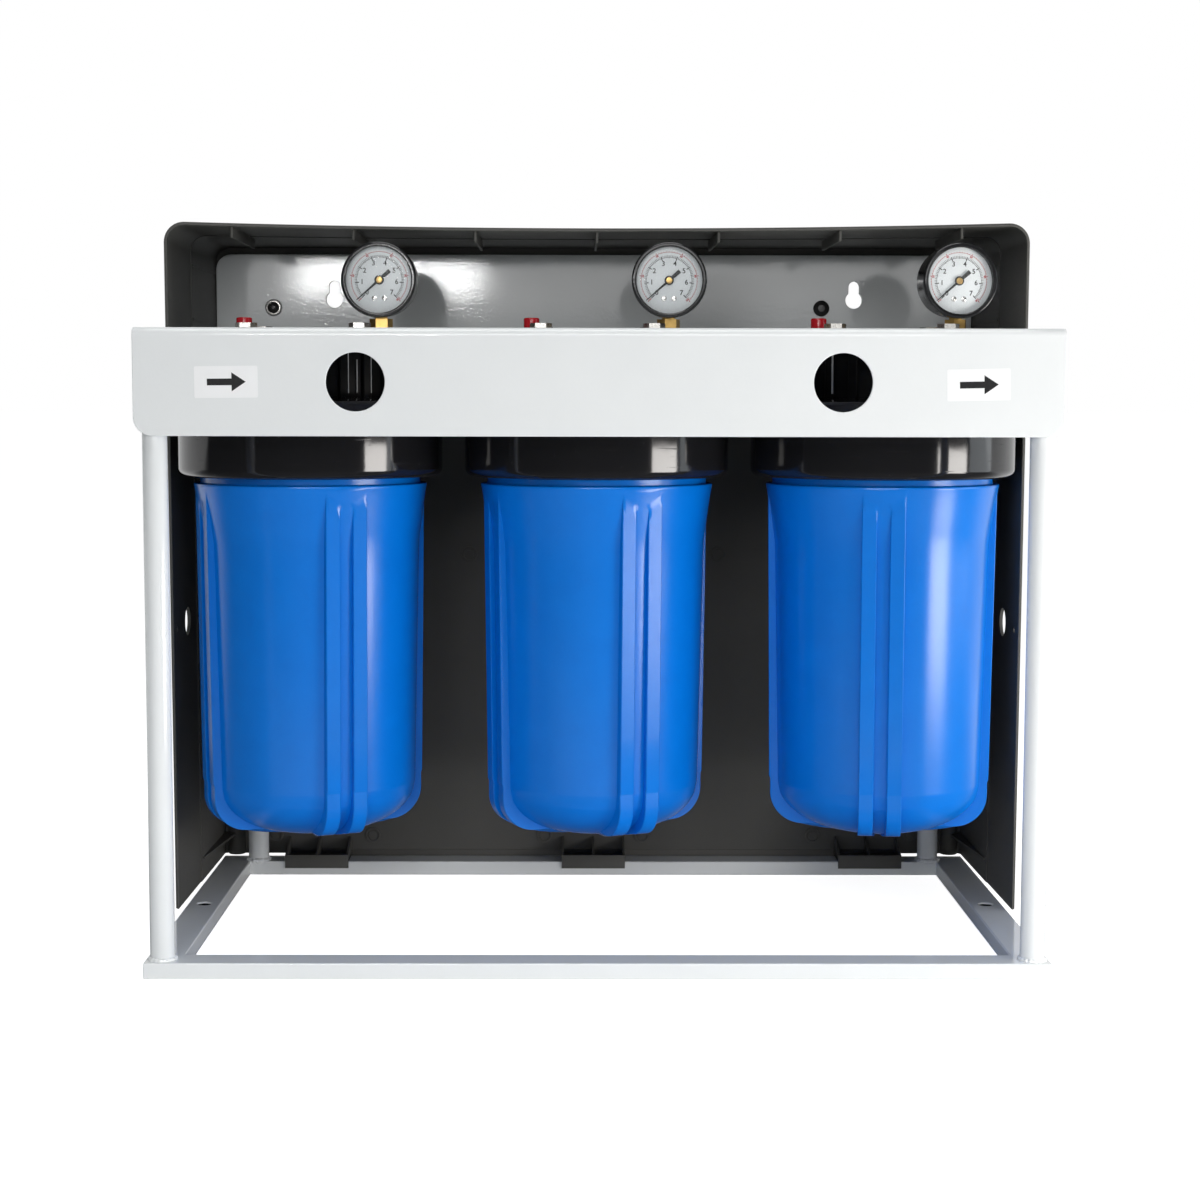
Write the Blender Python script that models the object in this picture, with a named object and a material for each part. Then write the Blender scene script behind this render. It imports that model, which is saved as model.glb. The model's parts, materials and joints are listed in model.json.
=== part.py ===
# Three-stage whole house water filter on a floor stand, with its rear cover.
# Units are metres, +Z is up, and the stand's front face looks along -Y.
# Inside this file y is measured back from the front face of the bracket's panel;
# the empty that carries every piece then centres the whole on the origin.

import math

import bmesh
import bpy
from mathutils import Matrix, Vector

# Clearances shared by pieces that touch or turn in each other
seat_gap = 0.0003
thread_gap = 0.0005
cut_overrun = 0.004

# Stations: one filter housing each, side by side
collar_room = 0.008
port_room = 0.006
station_count = 3
axis_y = 0.150

# Bracket bent from one sheet: front panel, shelf and back plate
sheet = 0.002
shelf_top = 0.4185
bracket_end_room = 0.0005
panel_height = 0.0685
back_plate_top_room = 0.010
bend_radius = 0.003
bracket_corner = 0.012
panel_hole_radius = 0.0186
panel_hole_inset = 0.046
keyhole_inset = 0.092
keyhole_rise = 0.0323
keyhole_radius = 0.0065
keyhole_slot_radius = 0.0042
keyhole_slot_rise = 0.0102

# Base frame of steel bars
frame_end_room = 0.0005
frame_depth = 0.339
bar_side_room = 0.00375
bar_height = 0.0105
bar_edge = 0.0008
floor_hole_radius = 0.0052

# Round posts between the base and the bracket
post_radius = 0.008
post_wall = 0.0014
post_chamfer = 0.0010
front_post_set_back = 0.0015
front_post_room = 0.003
rear_post_inset = 0.0295

# Head, hung under the shelf
collar_proud = 0.011
collar_top_fall = 0.021
collar_height = 0.052
collar_dome = 0.004
collar_plate = 0.006
collar_fillet = 0.006
collar_top_fillet = 0.003
chamber_inset = 0.0025
hub_inset = 0.0055
hub_rib_proud = 0.007
hub_rib_count = 10
hub_rib_share = 0.4
port_top_room = 0.003
port_boss_wall = 0.0058
nipple_radius = 0.0167
nipple_wall = 0.0042
nipple_grip = 0.017
nipple_hex_proud = 0.0038
drop_bore = 0.0075
drop_inset = 0.009
spigot_radius = 0.024
spigot_nose_length = 0.0048
spigot_bore = 0.009

# Bolts that hold each head to the shelf
bolt_inset = 0.0225
bolt_radius = 0.004
bolt_depth = 0.0175
bolt_head_radius = 0.0075
bolt_head_height = 0.0053
bolt_flange_radius = 0.0086
bolt_flange_height = 0.0015
bolt_clearance = 0.0004
shelf_clearance = 0.0012

# Sump: the blue bowl that unscrews from the head
neck_wall = 0.0075
neck_set_in = 0.0185
neck_inset = 0.0062
rim_gap = 0.0045
rim_proud = 0.0045
rim_edge = 0.0012
flare_height = 0.0415
sump_draft = 0.0035
flare_power = 1.15
flare_shares = (0.5,)
parting_height = 0.038
cartridge_side_room = 0.0142
sump_bottom = 0.069
sump_wall = 0.0056
dome_power = 2.5
seat_inset = 0.004
seat_height = 0.0160
floor_share = 0.4742
centring_radius = 0.0132
centring_height = 0.012

# Grip ribs on the sump, in pairs
rib_pair_count = 4
rib_width = 0.0100
rib_gap = 0.0090
rib_top_proud = 0.0038
rib_low_proud = 0.0047
rib_step = 0.0008
rib_bottom_rise = 0.0072
rib_toe_radius = 0.0270
rib_root_depth = 0.0117
rib_toe_depth = 0.020
rib_top_drop = 0.0012
sump_turns_deg = (24.0, 22.5, -6.6)

# Seal ring in a rebate round the inside of the neck's top
seal_inset = 0.0024
seal_section = 0.0018
seal_groove = 0.0021
rebate_wall = 0.0027

# Filter cartridge and its end caps
cartridge_radius = 0.0560
cartridge_cap_lip = 0.0015
cartridge_hole = 0.0140
cartridge_head_room = 0.0311
cartridge_cap_height = 0.007

# Relief valve: collar and push button
relief_inset = 0.0155
tap_wall = 0.0007
tap_depth = 0.0095
passage_radius = 0.0015
relief_wall = 0.0019
relief_body_height = 0.0064
relief_well_depth = 0.0062
button_radius = 0.0055
button_height = 0.0100
button_proud = 0.0070
button_stem_radius = 0.0026
button_stem_length = 0.0090
button_round = 0.0016

# Pressure gauge, measured from the stem's axis and the dial's centre
gauge_inset = 0.0112
gauge_foot_room = 0.011
gauge_turns_deg = (-3.0, 0.0, 5.0)
bezel_radius = 0.0260
bezel_face = 0.0032
bezel_front = 0.0140
bezel_lip = 0.0018
bezel_depth = 0.0075
bezel_round = 0.0012
case_set_in = 0.0013
case_wall = 0.0012
case_front = 0.0083
case_back = 0.0150
lens_thickness = 0.0015
dial_thickness = 0.0008
dial_hole = 0.0014
pointer_gap = 0.0004
pointer_plate = 0.0006
pointer_hub_height = 0.0015
pointer_hub_radius = 0.0032
pointer_shaft_radius = 0.0009
pointer_shaft_length = 0.0060
pointer_room = 0.0022
pointer_tail = 0.0097
pointer_tail_half = 0.0013
pointer_tip_half = 0.0003
pointer_root_half = 0.0008
pointer_rest_deg = 221.0
stem_hex_radius = 0.0081
stem_hex_turn_deg = 10.0
stem_thread_radius = 0.0062
stem_neck_radius = 0.0045
stem_block_half = 0.0045
stem_block_height = 0.0062
bourdon_radius = 0.0118
bourdon_half_width = 0.0024
bourdon_half_thickness = 0.0009
bourdon_sweep_deg = 235.0
bourdon_foot = 0.0016

# Rear cover: a drafted shell, open at the front and below
cover_front_lead = 0.004
cover_stand_off = 0.002
cover_wall = 0.0023
cover_head_room = 0.014
cover_top_fall = 0.0015
cover_top_sag = 0.0040
cover_lift = 0.0015
cover_side_room = 0.0036
cover_flare = 0.0022
cover_foot_draw = 0.0016
cover_corner = 0.0140
cover_inner_corner = 0.0047
cover_rim_step = 0.0014
cover_rim_share = 0.5
cover_step_run = 0.089
cover_step = 0.0006
cover_skirt_drop = 0.0050
cover_skirt_inset = 0.0556
cover_ledge = 0.0030
cover_ledge_proud = 0.0009

# Ribs and bosses moulded into the cover
web = 0.0017
top_rib_count = 7
top_rib_pitch_share = 0.2838
top_rib_lead = 0.006
top_rib_run_share = 0.554
top_rib_depth = 0.0075
side_rib_shares = (0.9506, 0.8718, 0.6135, 0.4258, 0.2381)
side_rib_proud = 0.0008
side_rib_end_room = 0.006
low_rib_z = 0.0285
low_rib_lead = 0.007
low_rib_depth = 0.010
column_inset = 0.0139
column_radius = 0.0068
column_top = 0.118
boss_radius = 0.0061
boss_proud = 0.0012
high_boss_share = 0.3287
high_boss_z = 0.2515
low_boss_shares = (0.1302, 0.5887, 0.8507)
low_boss_z = 0.0268
latch_z = 0.2125
latch_height = 0.048
latch_run = 0.086
latch_depth = 0.0008
latch_hole_run = 0.054
latch_hole_radius = 0.0102
pin_hole_run = 0.014
pin_hole_z = 0.2105
pin_hole_radius = 0.0020
port_notch_radius = 0.0260
foot_inset = 0.0803
foot_half = 0.0249
foot_plate_top = 0.0160
foot_plate_bottom = 0.0055
foot_rib_top = 0.0265
foot_rib_set_in_share = 0.75

# Screws and washer between the bracket's back plate and the cover
screw_insets = (0.0445, 0.1175)
screw_rise = 0.0258
screw_head_radii = (0.0045, 0.0062)
screw_head_height = 0.0030
screw_head_crown = 0.0010
screw_radius = 0.0020
screw_hole_radius = 0.0026
screw_boss_radius = 0.0080
screw_tip_wall = 0.0006
washer_radius = 0.0065
washer_height = 0.0010

# Facets round a turn, and along a curve
fine_sides = 24
mid_sides = 18
port_sides = 14
small_sides = 10
hole_sides = 8
hex_sides = 6
seal_facets = 4
arc_steps = 2
dome_steps = 4
bourdon_steps = 9
cover_arch_steps = 6

# Tolerances for cleaning a mesh after a Boolean, and for shading it
weld_distance = 0.00001
flat_angle = 0.0005
crease_deg = 35.0

# Radii round each housing, from the cartridge outwards
cartridge_cap_radius = cartridge_radius + cartridge_cap_lip
parting_radius = cartridge_cap_radius + cartridge_side_room
flare_radius = parting_radius + sump_draft
rib_low_radius = parting_radius + rib_low_proud
rib_top_radius = flare_radius + rib_top_proud
rib_root = parting_radius - rib_root_depth
rib_toe_root = rib_root - rib_toe_depth
floor_radius = parting_radius * floor_share
seat_radius = floor_radius - seat_inset
neck_bore = flare_radius - neck_inset
neck_radius = neck_bore + neck_wall
rebate_radius = neck_radius - rebate_wall
seal_radius = rebate_radius - seal_inset
rim_radius = neck_radius + rim_proud
collar_radius = rim_radius + collar_proud
chamber_radius = neck_bore - chamber_inset
hub_radius = chamber_radius - hub_inset
hub_rib_radius = hub_radius + hub_rib_proud

# Places on each head, from the hub's edge inwards
drop_x = hub_radius - drop_inset
bolt_offset = hub_radius - bolt_inset
relief_x = hub_radius - relief_inset
gauge_x = hub_radius - gauge_inset

# Ports, valve, gauge and posts
nipple_bore = nipple_radius - nipple_wall
nipple_hex_radius = nipple_radius + nipple_hex_proud
port_boss_radius = nipple_radius + port_boss_wall
port_drop = port_boss_radius + port_top_room
collar_drop = port_drop + collar_top_fall
relief_body_radius = button_radius + relief_wall
tap_radius = relief_body_radius - tap_wall
bezel_window = bezel_radius - bezel_face
case_radius = bezel_radius - case_set_in
pointer_length = bezel_window - pointer_room
gauge_rise = bezel_radius + gauge_foot_room
cover_top_rise = gauge_rise + bezel_radius + cover_head_room
back_plate_height = cover_top_rise - back_plate_top_room
post_bore = post_radius - post_wall
front_post_inset = post_radius + front_post_room
bar_width = (post_radius + bar_side_room) * 2

# Places across: the housings stand collar to collar, and the bracket reaches past the outer ports
station_pitch = (collar_radius + collar_room) * 2
port_reach = station_pitch / 2 - port_room
half_facet_deg = 180.0 / fine_sides
outer_station_x = station_pitch * (station_count - 1) / 2
bracket_width = 2 * (outer_station_x + port_reach + bracket_end_room)
frame_width = bracket_width - 2 * frame_end_room
panel_hole_x = outer_station_x - panel_hole_inset
keyhole_x = bracket_width / 2 - keyhole_inset
cover_back_half = bracket_width / 2 + cover_side_room
cover_front_half = cover_back_half + cover_flare
cover_skirt_half = cover_back_half - cover_skirt_inset
top_rib_pitch = cover_back_half * top_rib_pitch_share
column_x = cover_back_half - column_inset
high_boss_x = cover_back_half * high_boss_share
low_boss_xs = tuple(cover_back_half * share for share in low_boss_shares)
foot_xs = (foot_inset - cover_back_half, 0.0, cover_back_half - foot_inset)
screw_xs = (screw_insets[0] - bracket_width / 2, bracket_width / 2 - screw_insets[1])

# Places from front to back
cover_front = axis_y - cover_front_lead
cover_back = frame_depth + cover_stand_off
cover_outer_back = cover_back + cover_wall
cover_step_y = cover_front + cover_step_run
top_rib_front = cover_front + top_rib_lead
top_rib_back = top_rib_front + (cover_back - cover_front) * top_rib_run_share
side_rib_back = cover_back - side_rib_end_room
low_rib_front = cover_step_y + low_rib_lead
latch_back = cover_front + latch_run
latch_hole_y = cover_front + latch_hole_run
pin_hole_y = cover_front + pin_hole_run
centre_shift = cover_outer_back / 2

# Heights: the heads hang under the shelf, the sumps from the heads
shelf_bottom = shelf_top - sheet
panel_bottom = shelf_top - panel_height
panel_middle = shelf_top - panel_height / 2
keyhole_z = shelf_top + keyhole_rise
screw_z = shelf_top + screw_rise
gauge_z = shelf_top + gauge_rise
head_top = shelf_bottom - seat_gap
port_z = shelf_top - port_drop
collar_top = shelf_top - collar_drop
collar_bottom = collar_top - collar_height
collar_crown = collar_top + collar_dome
chamber_top = collar_crown - collar_plate
neck_top = collar_top - neck_set_in
rim_z = collar_bottom - rim_gap
flare_z = rim_z - flare_height
parting_z = sump_bottom + parting_height
rib_bottom = sump_bottom + rib_bottom_rise
bearing_face = neck_top + seal_section * 2 - seal_groove + seat_gap * 2
rib_reach = rib_gap / 2 + rib_width
cartridge_bottom = sump_bottom + sump_wall + seat_height + seat_gap
cartridge_top = chamber_top - cartridge_head_room
cover_top_front = shelf_top + cover_top_rise
cover_top_back = cover_top_front - cover_top_fall
cover_bottom = bar_height + cover_lift
side_rib_zs = tuple(cover_top_front * share for share in side_rib_shares)


def station_x(index):
    return index * station_pitch - outer_station_x


def clear_scene():
    for item in list(bpy.data.objects):
        bpy.data.objects.remove(item, do_unlink=True)
    for mesh in list(bpy.data.meshes):
        bpy.data.meshes.remove(mesh)


def make_material(name, colour, roughness, metallic=0.0, alpha=1.0):
    material = bpy.data.materials.new(name)
    material.use_nodes = True
    shader = material.node_tree.nodes["Principled BSDF"]
    shader.inputs["Base Color"].default_value = (*colour, 1.0)
    shader.inputs["Roughness"].default_value = roughness
    shader.inputs["Metallic"].default_value = metallic
    shader.inputs["Alpha"].default_value = alpha
    material.diffuse_color = (*colour, alpha)
    return material


# Flat outlines

def arc(centre, radius, start_deg, end_deg, steps):
    points = []
    for step in range(steps + 1):
        angle = math.radians(start_deg + (end_deg - start_deg) * step / steps)
        points.append((centre[0] + radius * math.cos(angle), centre[1] + radius * math.sin(angle)))
    return points


def clear_of(radius, sides):
    """Corner radius of a bore whose flats stay outside a circle of this radius."""
    return radius / math.cos(math.pi / sides)


def circle(centre, radius, sides, turn_deg=0.0):
    return arc(centre, radius, turn_deg, turn_deg + 360.0, sides)[:-1]


def rectangle(low_u, high_u, low_v, high_v):
    return [(low_u, low_v), (high_u, low_v), (high_u, high_v), (low_u, high_v)]


def keyhole(x, z, grow):
    """A round hole with a narrower slot above it, each grown by the same amount."""
    big = keyhole_radius + grow
    slot = keyhole_slot_radius + grow
    reach = math.degrees(math.acos(slot / big))
    outline = arc((x, z), big, 180.0 - reach, 360.0 + reach, small_sides)
    outline += arc((x, z + keyhole_slot_rise), slot, 0.0, 180.0, small_sides // 2)
    return outline


def corner_waste(x_side, z_edge, z_side, radius):
    """What a rounded corner loses: x_side and z_side are the signs of the corner."""
    x_edge = x_side * bracket_width / 2
    centre = (x_edge - x_side * radius, z_edge - z_side * radius)
    start = 0.0 if x_side > 0 else 180.0
    end = 90.0 if z_side > 0 else (-90.0 if x_side > 0 else 270.0)
    outline = arc(centre, radius, start, end, arc_steps * 2)
    beyond_x = x_edge + x_side * cut_overrun
    beyond_z = z_edge + z_side * cut_overrun
    outline += [(centre[0], beyond_z), (beyond_x, beyond_z), (beyond_x, centre[1])]
    return outline


# Solids, each added to a bmesh

def along_x(u, v, w):
    return Vector((w, u, v))


def along_y(u, v, w):
    return Vector((u, w, v))


def along_z(u, v, w):
    return Vector((u, v, w))


def add_loft(bm, rings, close_ends=True):
    """Skin closed rings of points; each ring has as many points as the next."""
    loops = [[bm.verts.new(point) for point in ring] for ring in rings]
    for first, second in zip(loops, loops[1:]):
        bridge(bm, first, second)
    if close_ends:
        bm.faces.new(loops[0])
        bm.faces.new(loops[-1])
    return loops


def add_prism(bm, outline, direction, low, high):
    add_loft(bm, [[direction(u, v, w) for u, v in outline] for w in (low, high)])


def add_ring(bm, outer, inner, direction, low, high):
    """A prism with a hole right through; both outlines have as many points."""
    sections = ((outer, low), (outer, high), (inner, high), (inner, low))
    rings = [[direction(u, v, w) for u, v in outline] for outline, w in sections]
    loops = add_loft(bm, rings, close_ends=False)
    bridge(bm, loops[-1], loops[0])


def bridge(bm, first, second):
    for index in range(len(first)):
        after = (index + 1) % len(first)
        bm.faces.new((first[index], first[after], second[after], second[index]))


def add_turned(bm, profile, sides, place=Matrix(), turn_deg=0.0):
    """Turn a closed profile of (radius, height) points about the local Z axis."""
    rings = []
    for radius, height in profile:
        if radius <= 0.0:
            rings.append([bm.verts.new(place @ Vector((0.0, 0.0, height)))])
            continue
        ring = circle((0.0, 0.0), radius, sides, turn_deg)
        rings.append([bm.verts.new(place @ Vector((x, y, height))) for x, y in ring])
    for first, second in zip(rings, rings[1:] + rings[:1]):
        if len(first) == 1 and len(second) == 1:
            continue
        for index in range(sides):
            after = (index + 1) % sides
            if len(first) == 1:
                bm.faces.new((first[0], second[after], second[index]))
            elif len(second) == 1:
                bm.faces.new((first[index], first[after], second[0]))
            else:
                bm.faces.new((first[index], first[after], second[after], second[index]))


def solid_profile(radius, low, high):
    return [(0.0, low), (radius, low), (radius, high), (0.0, high)]


def ring_profile(inner, outer, low, high):
    return [(inner, low), (outer, low), (outer, high), (inner, high)]


def facing_front(x, z):
    """A frame whose local Z runs back along +Y, for pieces turned about Y."""
    return Matrix.Translation((x, 0.0, z)) @ Matrix.Rotation(math.radians(-90.0), 4, "X")


# Objects

def mesh_from(bm, name):
    bmesh.ops.recalc_face_normals(bm, faces=bm.faces)
    mesh = bpy.data.meshes.new(name)
    bm.to_mesh(mesh)
    bm.free()
    return mesh


def combined(body, other, operation):
    """The mesh of body after one exact Boolean with the mesh of other."""
    holders = []
    for mesh in (body, other):
        holder = bpy.data.objects.new("holder", mesh)
        bpy.context.scene.collection.objects.link(holder)
        holders.append(holder)
    modifier = holders[0].modifiers.new("combine", "BOOLEAN")
    modifier.operation = operation
    modifier.solver = "EXACT"
    modifier.object = holders[1]
    depsgraph = bpy.context.evaluated_depsgraph_get()
    result = cleaned(bpy.data.meshes.new_from_object(holders[0].evaluated_get(depsgraph)))
    for holder in holders:
        bpy.data.objects.remove(holder, do_unlink=True)
    for mesh in (body, other):
        bpy.data.meshes.remove(mesh)
    return result


def cleaned(mesh):
    """Merge points closer than weld_distance and drop the edges inside flat faces."""
    bm = bmesh.new()
    bm.from_mesh(mesh)
    bmesh.ops.remove_doubles(bm, verts=bm.verts, dist=weld_distance)
    bmesh.ops.dissolve_limit(bm, angle_limit=flat_angle, verts=bm.verts, edges=bm.edges)
    bm.to_mesh(mesh)
    bm.free()
    return mesh


def joined(mesh, add):
    bm = bmesh.new()
    add(bm)
    return combined(mesh, mesh_from(bm, "extra"), "UNION")


def cut(mesh, add):
    bm = bmesh.new()
    add(bm)
    return combined(mesh, mesh_from(bm, "waste"), "DIFFERENCE")


def place_object(name, mesh, material, carrier, location=(0.0, 0.0, 0.0), turn_deg=0.0):
    """Turning is about the vertical through the location."""
    mesh.name = name
    mesh.materials.clear()
    mesh.materials.append(material)
    mesh.shade_smooth()
    mesh.set_sharp_from_angle(angle=math.radians(crease_deg))
    piece = bpy.data.objects.new(name, mesh)
    bpy.context.scene.collection.objects.link(piece)
    piece.parent = carrier
    piece.location = location
    piece.rotation_euler = (0.0, 0.0, math.radians(turn_deg))
    return piece


def soften_edges(piece, width):
    modifier = piece.modifiers.new("edges", "BEVEL")
    modifier.width = width
    modifier.segments = 1
    modifier.limit_method = "ANGLE"


# Base frame and posts

def add_floor_holes(waste):
    for side in (-1.0, 1.0):
        hole = circle((side * (frame_width - bar_width) / 2, frame_depth / 2), floor_hole_radius, small_sides)
        add_prism(waste, hole, along_z, -cut_overrun, bar_height + cut_overrun)


def build_base(carrier, paint):
    """Four flat bars welded into one rectangle, with a floor hole in each side bar."""
    half = frame_width / 2
    outer = rectangle(-half, half, 0.0, frame_depth)
    inner = rectangle(bar_width - half, half - bar_width, bar_width, frame_depth - bar_width)
    bm = bmesh.new()
    add_ring(bm, outer, inner, along_z, 0.0, bar_height)
    mesh = cut(mesh_from(bm, "base"), add_floor_holes)
    base = place_object("base_frame", mesh, paint, carrier)
    soften_edges(base, bar_edge)


def build_posts(carrier, paint):
    front_y = sheet + front_post_set_back + post_radius
    low = bar_height + seat_gap
    high = shelf_bottom - seat_gap
    profile = [(post_bore, low), (post_radius, low), (post_radius, high - post_chamfer),
               (post_radius - post_chamfer, high), (post_bore, high)]
    rear_y = frame_depth - bar_width + seat_gap + post_radius
    places = (
        ("post_front_left", front_post_inset - frame_width / 2, front_y),
        ("post_front_right", frame_width / 2 - front_post_inset, front_y),
        ("post_rear_left", rear_post_inset - frame_width / 2, rear_y),
        ("post_rear_right", frame_width / 2 - rear_post_inset, rear_y),
    )
    for name, x, y in places:
        bm = bmesh.new()
        add_turned(bm, profile, mid_sides)
        place_object(name, mesh_from(bm, name), paint, carrier, (x, y, 0.0))


# Bracket

def bracket_section():
    """The sheet seen from its end: panel, bend, shelf, bend and back plate."""
    outer = bend_radius + sheet
    front_centre = (outer, shelf_top - outer)
    rear_centre = (frame_depth - outer, shelf_top + bend_radius)
    plate_top = shelf_top + back_plate_height
    section = [(0.0, panel_bottom)]
    section += arc(front_centre, outer, 180.0, 90.0, arc_steps)
    section += arc(rear_centre, bend_radius, -90.0, 0.0, arc_steps)
    section += [(frame_depth - sheet, plate_top), (frame_depth, plate_top)]
    section += arc(rear_centre, outer, 0.0, -90.0, arc_steps)
    section += arc(front_centre, bend_radius, 90.0, 180.0, arc_steps)
    section.append((sheet, panel_bottom))
    return section


def bolt_places(index):
    x = station_x(index)
    corners = [(side_x, side_y) for side_x in (-1, 1) for side_y in (-1, 1)]
    return [(x + side_x * bolt_offset, axis_y + side_y * bolt_offset) for side_x, side_y in corners]


def add_bracket_waste(waste):
    plate_top = shelf_top + back_plate_height
    back = (frame_depth - sheet - cut_overrun, frame_depth + cut_overrun)
    front = (-cut_overrun, sheet + cut_overrun)
    for side in (-1.0, 1.0):
        add_prism(waste, corner_waste(side, panel_bottom, -1.0, bracket_corner), along_y, *front)
        add_prism(waste, corner_waste(side, plate_top, 1.0, bracket_corner), along_y, *back)
        window = circle((side * panel_hole_x, panel_middle), panel_hole_radius, mid_sides)
        add_prism(waste, window, along_y, *front)
        add_prism(waste, keyhole(side * keyhole_x, keyhole_z, 0.0), along_y, *back)
    for x in screw_xs:
        add_prism(waste, circle((x, screw_z), screw_hole_radius, small_sides), along_y, *back)
    shelf = (shelf_bottom - cut_overrun, shelf_top + cut_overrun)
    for index in range(station_count):
        for place in bolt_places(index):
            add_prism(waste, circle(place, bolt_radius + bolt_clearance, hole_sides), along_z, *shelf)
        x = station_x(index)
        for place, radius in ((x + gauge_x, stem_hex_radius), (x - relief_x, relief_body_radius)):
            hole = circle((place, axis_y), radius + shelf_clearance, small_sides)
            add_prism(waste, hole, along_z, *shelf)


def build_bracket(carrier, paint):
    bm = bmesh.new()
    add_prism(bm, bracket_section(), along_x, -bracket_width / 2, bracket_width / 2)
    mesh = cut(mesh_from(bm, "bracket"), add_bracket_waste)
    place_object("mounting_bracket", mesh, paint, carrier)


# Head

def head_profile():
    """Half section of the collar with its domed plate, solid to the axis."""
    lip = collar_radius - collar_fillet
    profile = [(0.0, collar_bottom)]
    profile += arc((lip, collar_bottom + collar_fillet), collar_fillet, -90.0, 0.0, arc_steps)
    profile += arc((collar_radius - collar_top_fillet, collar_top - collar_top_fillet),
                   collar_top_fillet, 0.0, 90.0, arc_steps)
    profile += [(hub_radius, collar_crown), (0.0, collar_crown)]
    return profile


def head_hollow_profile():
    """Half section of the room above the sump, round the spigot, with the outlet bore."""
    face = cartridge_top + seat_gap
    nose = face - spigot_nose_length
    bore = clear_of(neck_radius + thread_gap, fine_sides)
    below = collar_bottom - cut_overrun
    return [(0.0, below), (bore, below), (bore, bearing_face), (chamber_radius, bearing_face),
            (chamber_radius, chamber_top), (spigot_radius, chamber_top), (spigot_radius, face),
            (centring_radius, face), (centring_radius, nose), (spigot_bore, nose),
            (spigot_bore, port_z), (0.0, port_z)]


def hub_outline():
    """A round body with upright ribs all the way round."""
    outline = []
    pitch = 360.0 / hub_rib_count
    for rib in range(hub_rib_count):
        start = pitch * rib
        edge = start + pitch * hub_rib_share
        outline += arc((0.0, 0.0), hub_rib_radius, start, edge, 1)
        outline += arc((0.0, 0.0), hub_radius, edge, start + pitch, 1)
    return outline


def port_frame(side):
    """A frame whose local Z runs out along the port, left or right."""
    return Matrix.Translation((0.0, 0.0, port_z)) @ Matrix.Rotation(math.radians(side * 90.0), 4, "Y")


def add_ports(bm):
    start = hub_radius / 2
    for side in (-1.0, 1.0):
        add_turned(bm, solid_profile(port_boss_radius, start, port_reach), port_sides, port_frame(side))


def add_hub(bm):
    add_prism(bm, hub_outline(), along_z, collar_top - collar_plate / 2, head_top)


def add_head_hollow(waste):
    add_turned(waste, head_hollow_profile(), fine_sides)


def add_port_bores(waste):
    grip_start = port_reach - nipple_grip - cut_overrun
    bore = nipple_radius + seat_gap
    for side, inner in ((-1.0, drop_x - drop_bore - cut_overrun), (1.0, -spigot_bore - cut_overrun)):
        profile = [(0.0, inner), (nipple_bore, inner), (nipple_bore, grip_start), (bore, grip_start),
                   (bore, port_reach + cut_overrun), (0.0, port_reach + cut_overrun)]
        add_turned(waste, profile, port_sides, port_frame(side))
    for side_x in (-1, 1):
        for side_y in (-1, 1):
            place = (side_x * bolt_offset, side_y * bolt_offset)
            outline = circle(place, bolt_radius + bolt_clearance, hole_sides)
            depth = bolt_depth + seat_gap
            add_prism(waste, outline, along_z, shelf_bottom - depth, head_top + cut_overrun)


def add_taps(waste):
    drop = circle((-drop_x, 0.0), drop_bore, hole_sides)
    add_prism(waste, drop, along_z, chamber_top - cut_overrun, port_z)
    bottom = head_top - tap_depth
    for x in (-relief_x, gauge_x):
        low = port_z + nipple_bore / 2
        profile = [(0.0, low), (passage_radius, low), (passage_radius, bottom), (tap_radius, bottom),
                   (tap_radius, head_top + cut_overrun), (0.0, head_top + cut_overrun)]
        add_turned(waste, profile, small_sides, Matrix.Translation((x, 0.0, 0.0)))


def head_mesh():
    bm = bmesh.new()
    add_turned(bm, head_profile(), fine_sides)
    mesh = joined(mesh_from(bm, "head"), add_hub)
    mesh = joined(mesh, add_ports)
    mesh = cut(mesh, add_head_hollow)
    mesh = cut(mesh, add_port_bores)
    return cut(mesh, add_taps)


def build_nipples(carrier, steel):
    """Threaded tubes between the heads, measured along x from the left head's axis."""
    grip = port_reach - nipple_grip
    hex_start = port_reach + seat_gap
    hex_end = station_pitch - hex_start

    def add_hex(bm):
        outer = circle((0.0, 0.0), nipple_hex_radius, hex_sides)
        inner = circle((0.0, 0.0), (nipple_bore + nipple_radius) / 2, hex_sides)
        add_ring(bm, outer, inner, along_x, hex_start, hex_end)

    for index in range(station_count - 1):
        bm = bmesh.new()
        profile = ring_profile(nipple_bore, nipple_radius, grip, station_pitch - grip)
        add_turned(bm, profile, port_sides, Matrix.Rotation(math.radians(90.0), 4, "Y"))
        mesh = joined(mesh_from(bm, "nipple"), add_hex)
        name = f"pipe_nipple_{index + 1}_{index + 2}"
        place_object(name, mesh, steel, carrier, (station_x(index), axis_y, port_z))


def bolt_mesh():
    """A flanged hexagon bolt; its local z is the height above the floor."""
    low = shelf_top + seat_gap
    flange_top = low + bolt_flange_height
    head_end = flange_top + bolt_head_height
    profile = [(0.0, shelf_bottom - bolt_depth), (bolt_radius, shelf_bottom - bolt_depth),
               (bolt_radius, low), (bolt_flange_radius, low), (bolt_flange_radius, flange_top),
               (0.0, flange_top)]

    def add_head(bm):
        head = solid_profile(bolt_head_radius, flange_top - bolt_flange_height / 2, head_end)
        add_turned(bm, head, hex_sides)

    bm = bmesh.new()
    add_turned(bm, profile, hole_sides)
    return joined(mesh_from(bm, "bolt"), add_head)


def build_bolts(carrier, steel):
    corners = ("front_left", "rear_left", "front_right", "rear_right")
    mesh = bolt_mesh()
    for index in range(station_count):
        for corner, (x, y) in zip(corners, bolt_places(index)):
            place_object(f"head_bolt_{index + 1}_{corner}", mesh, steel, carrier, (x, y, 0.0))


# Sump

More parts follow.
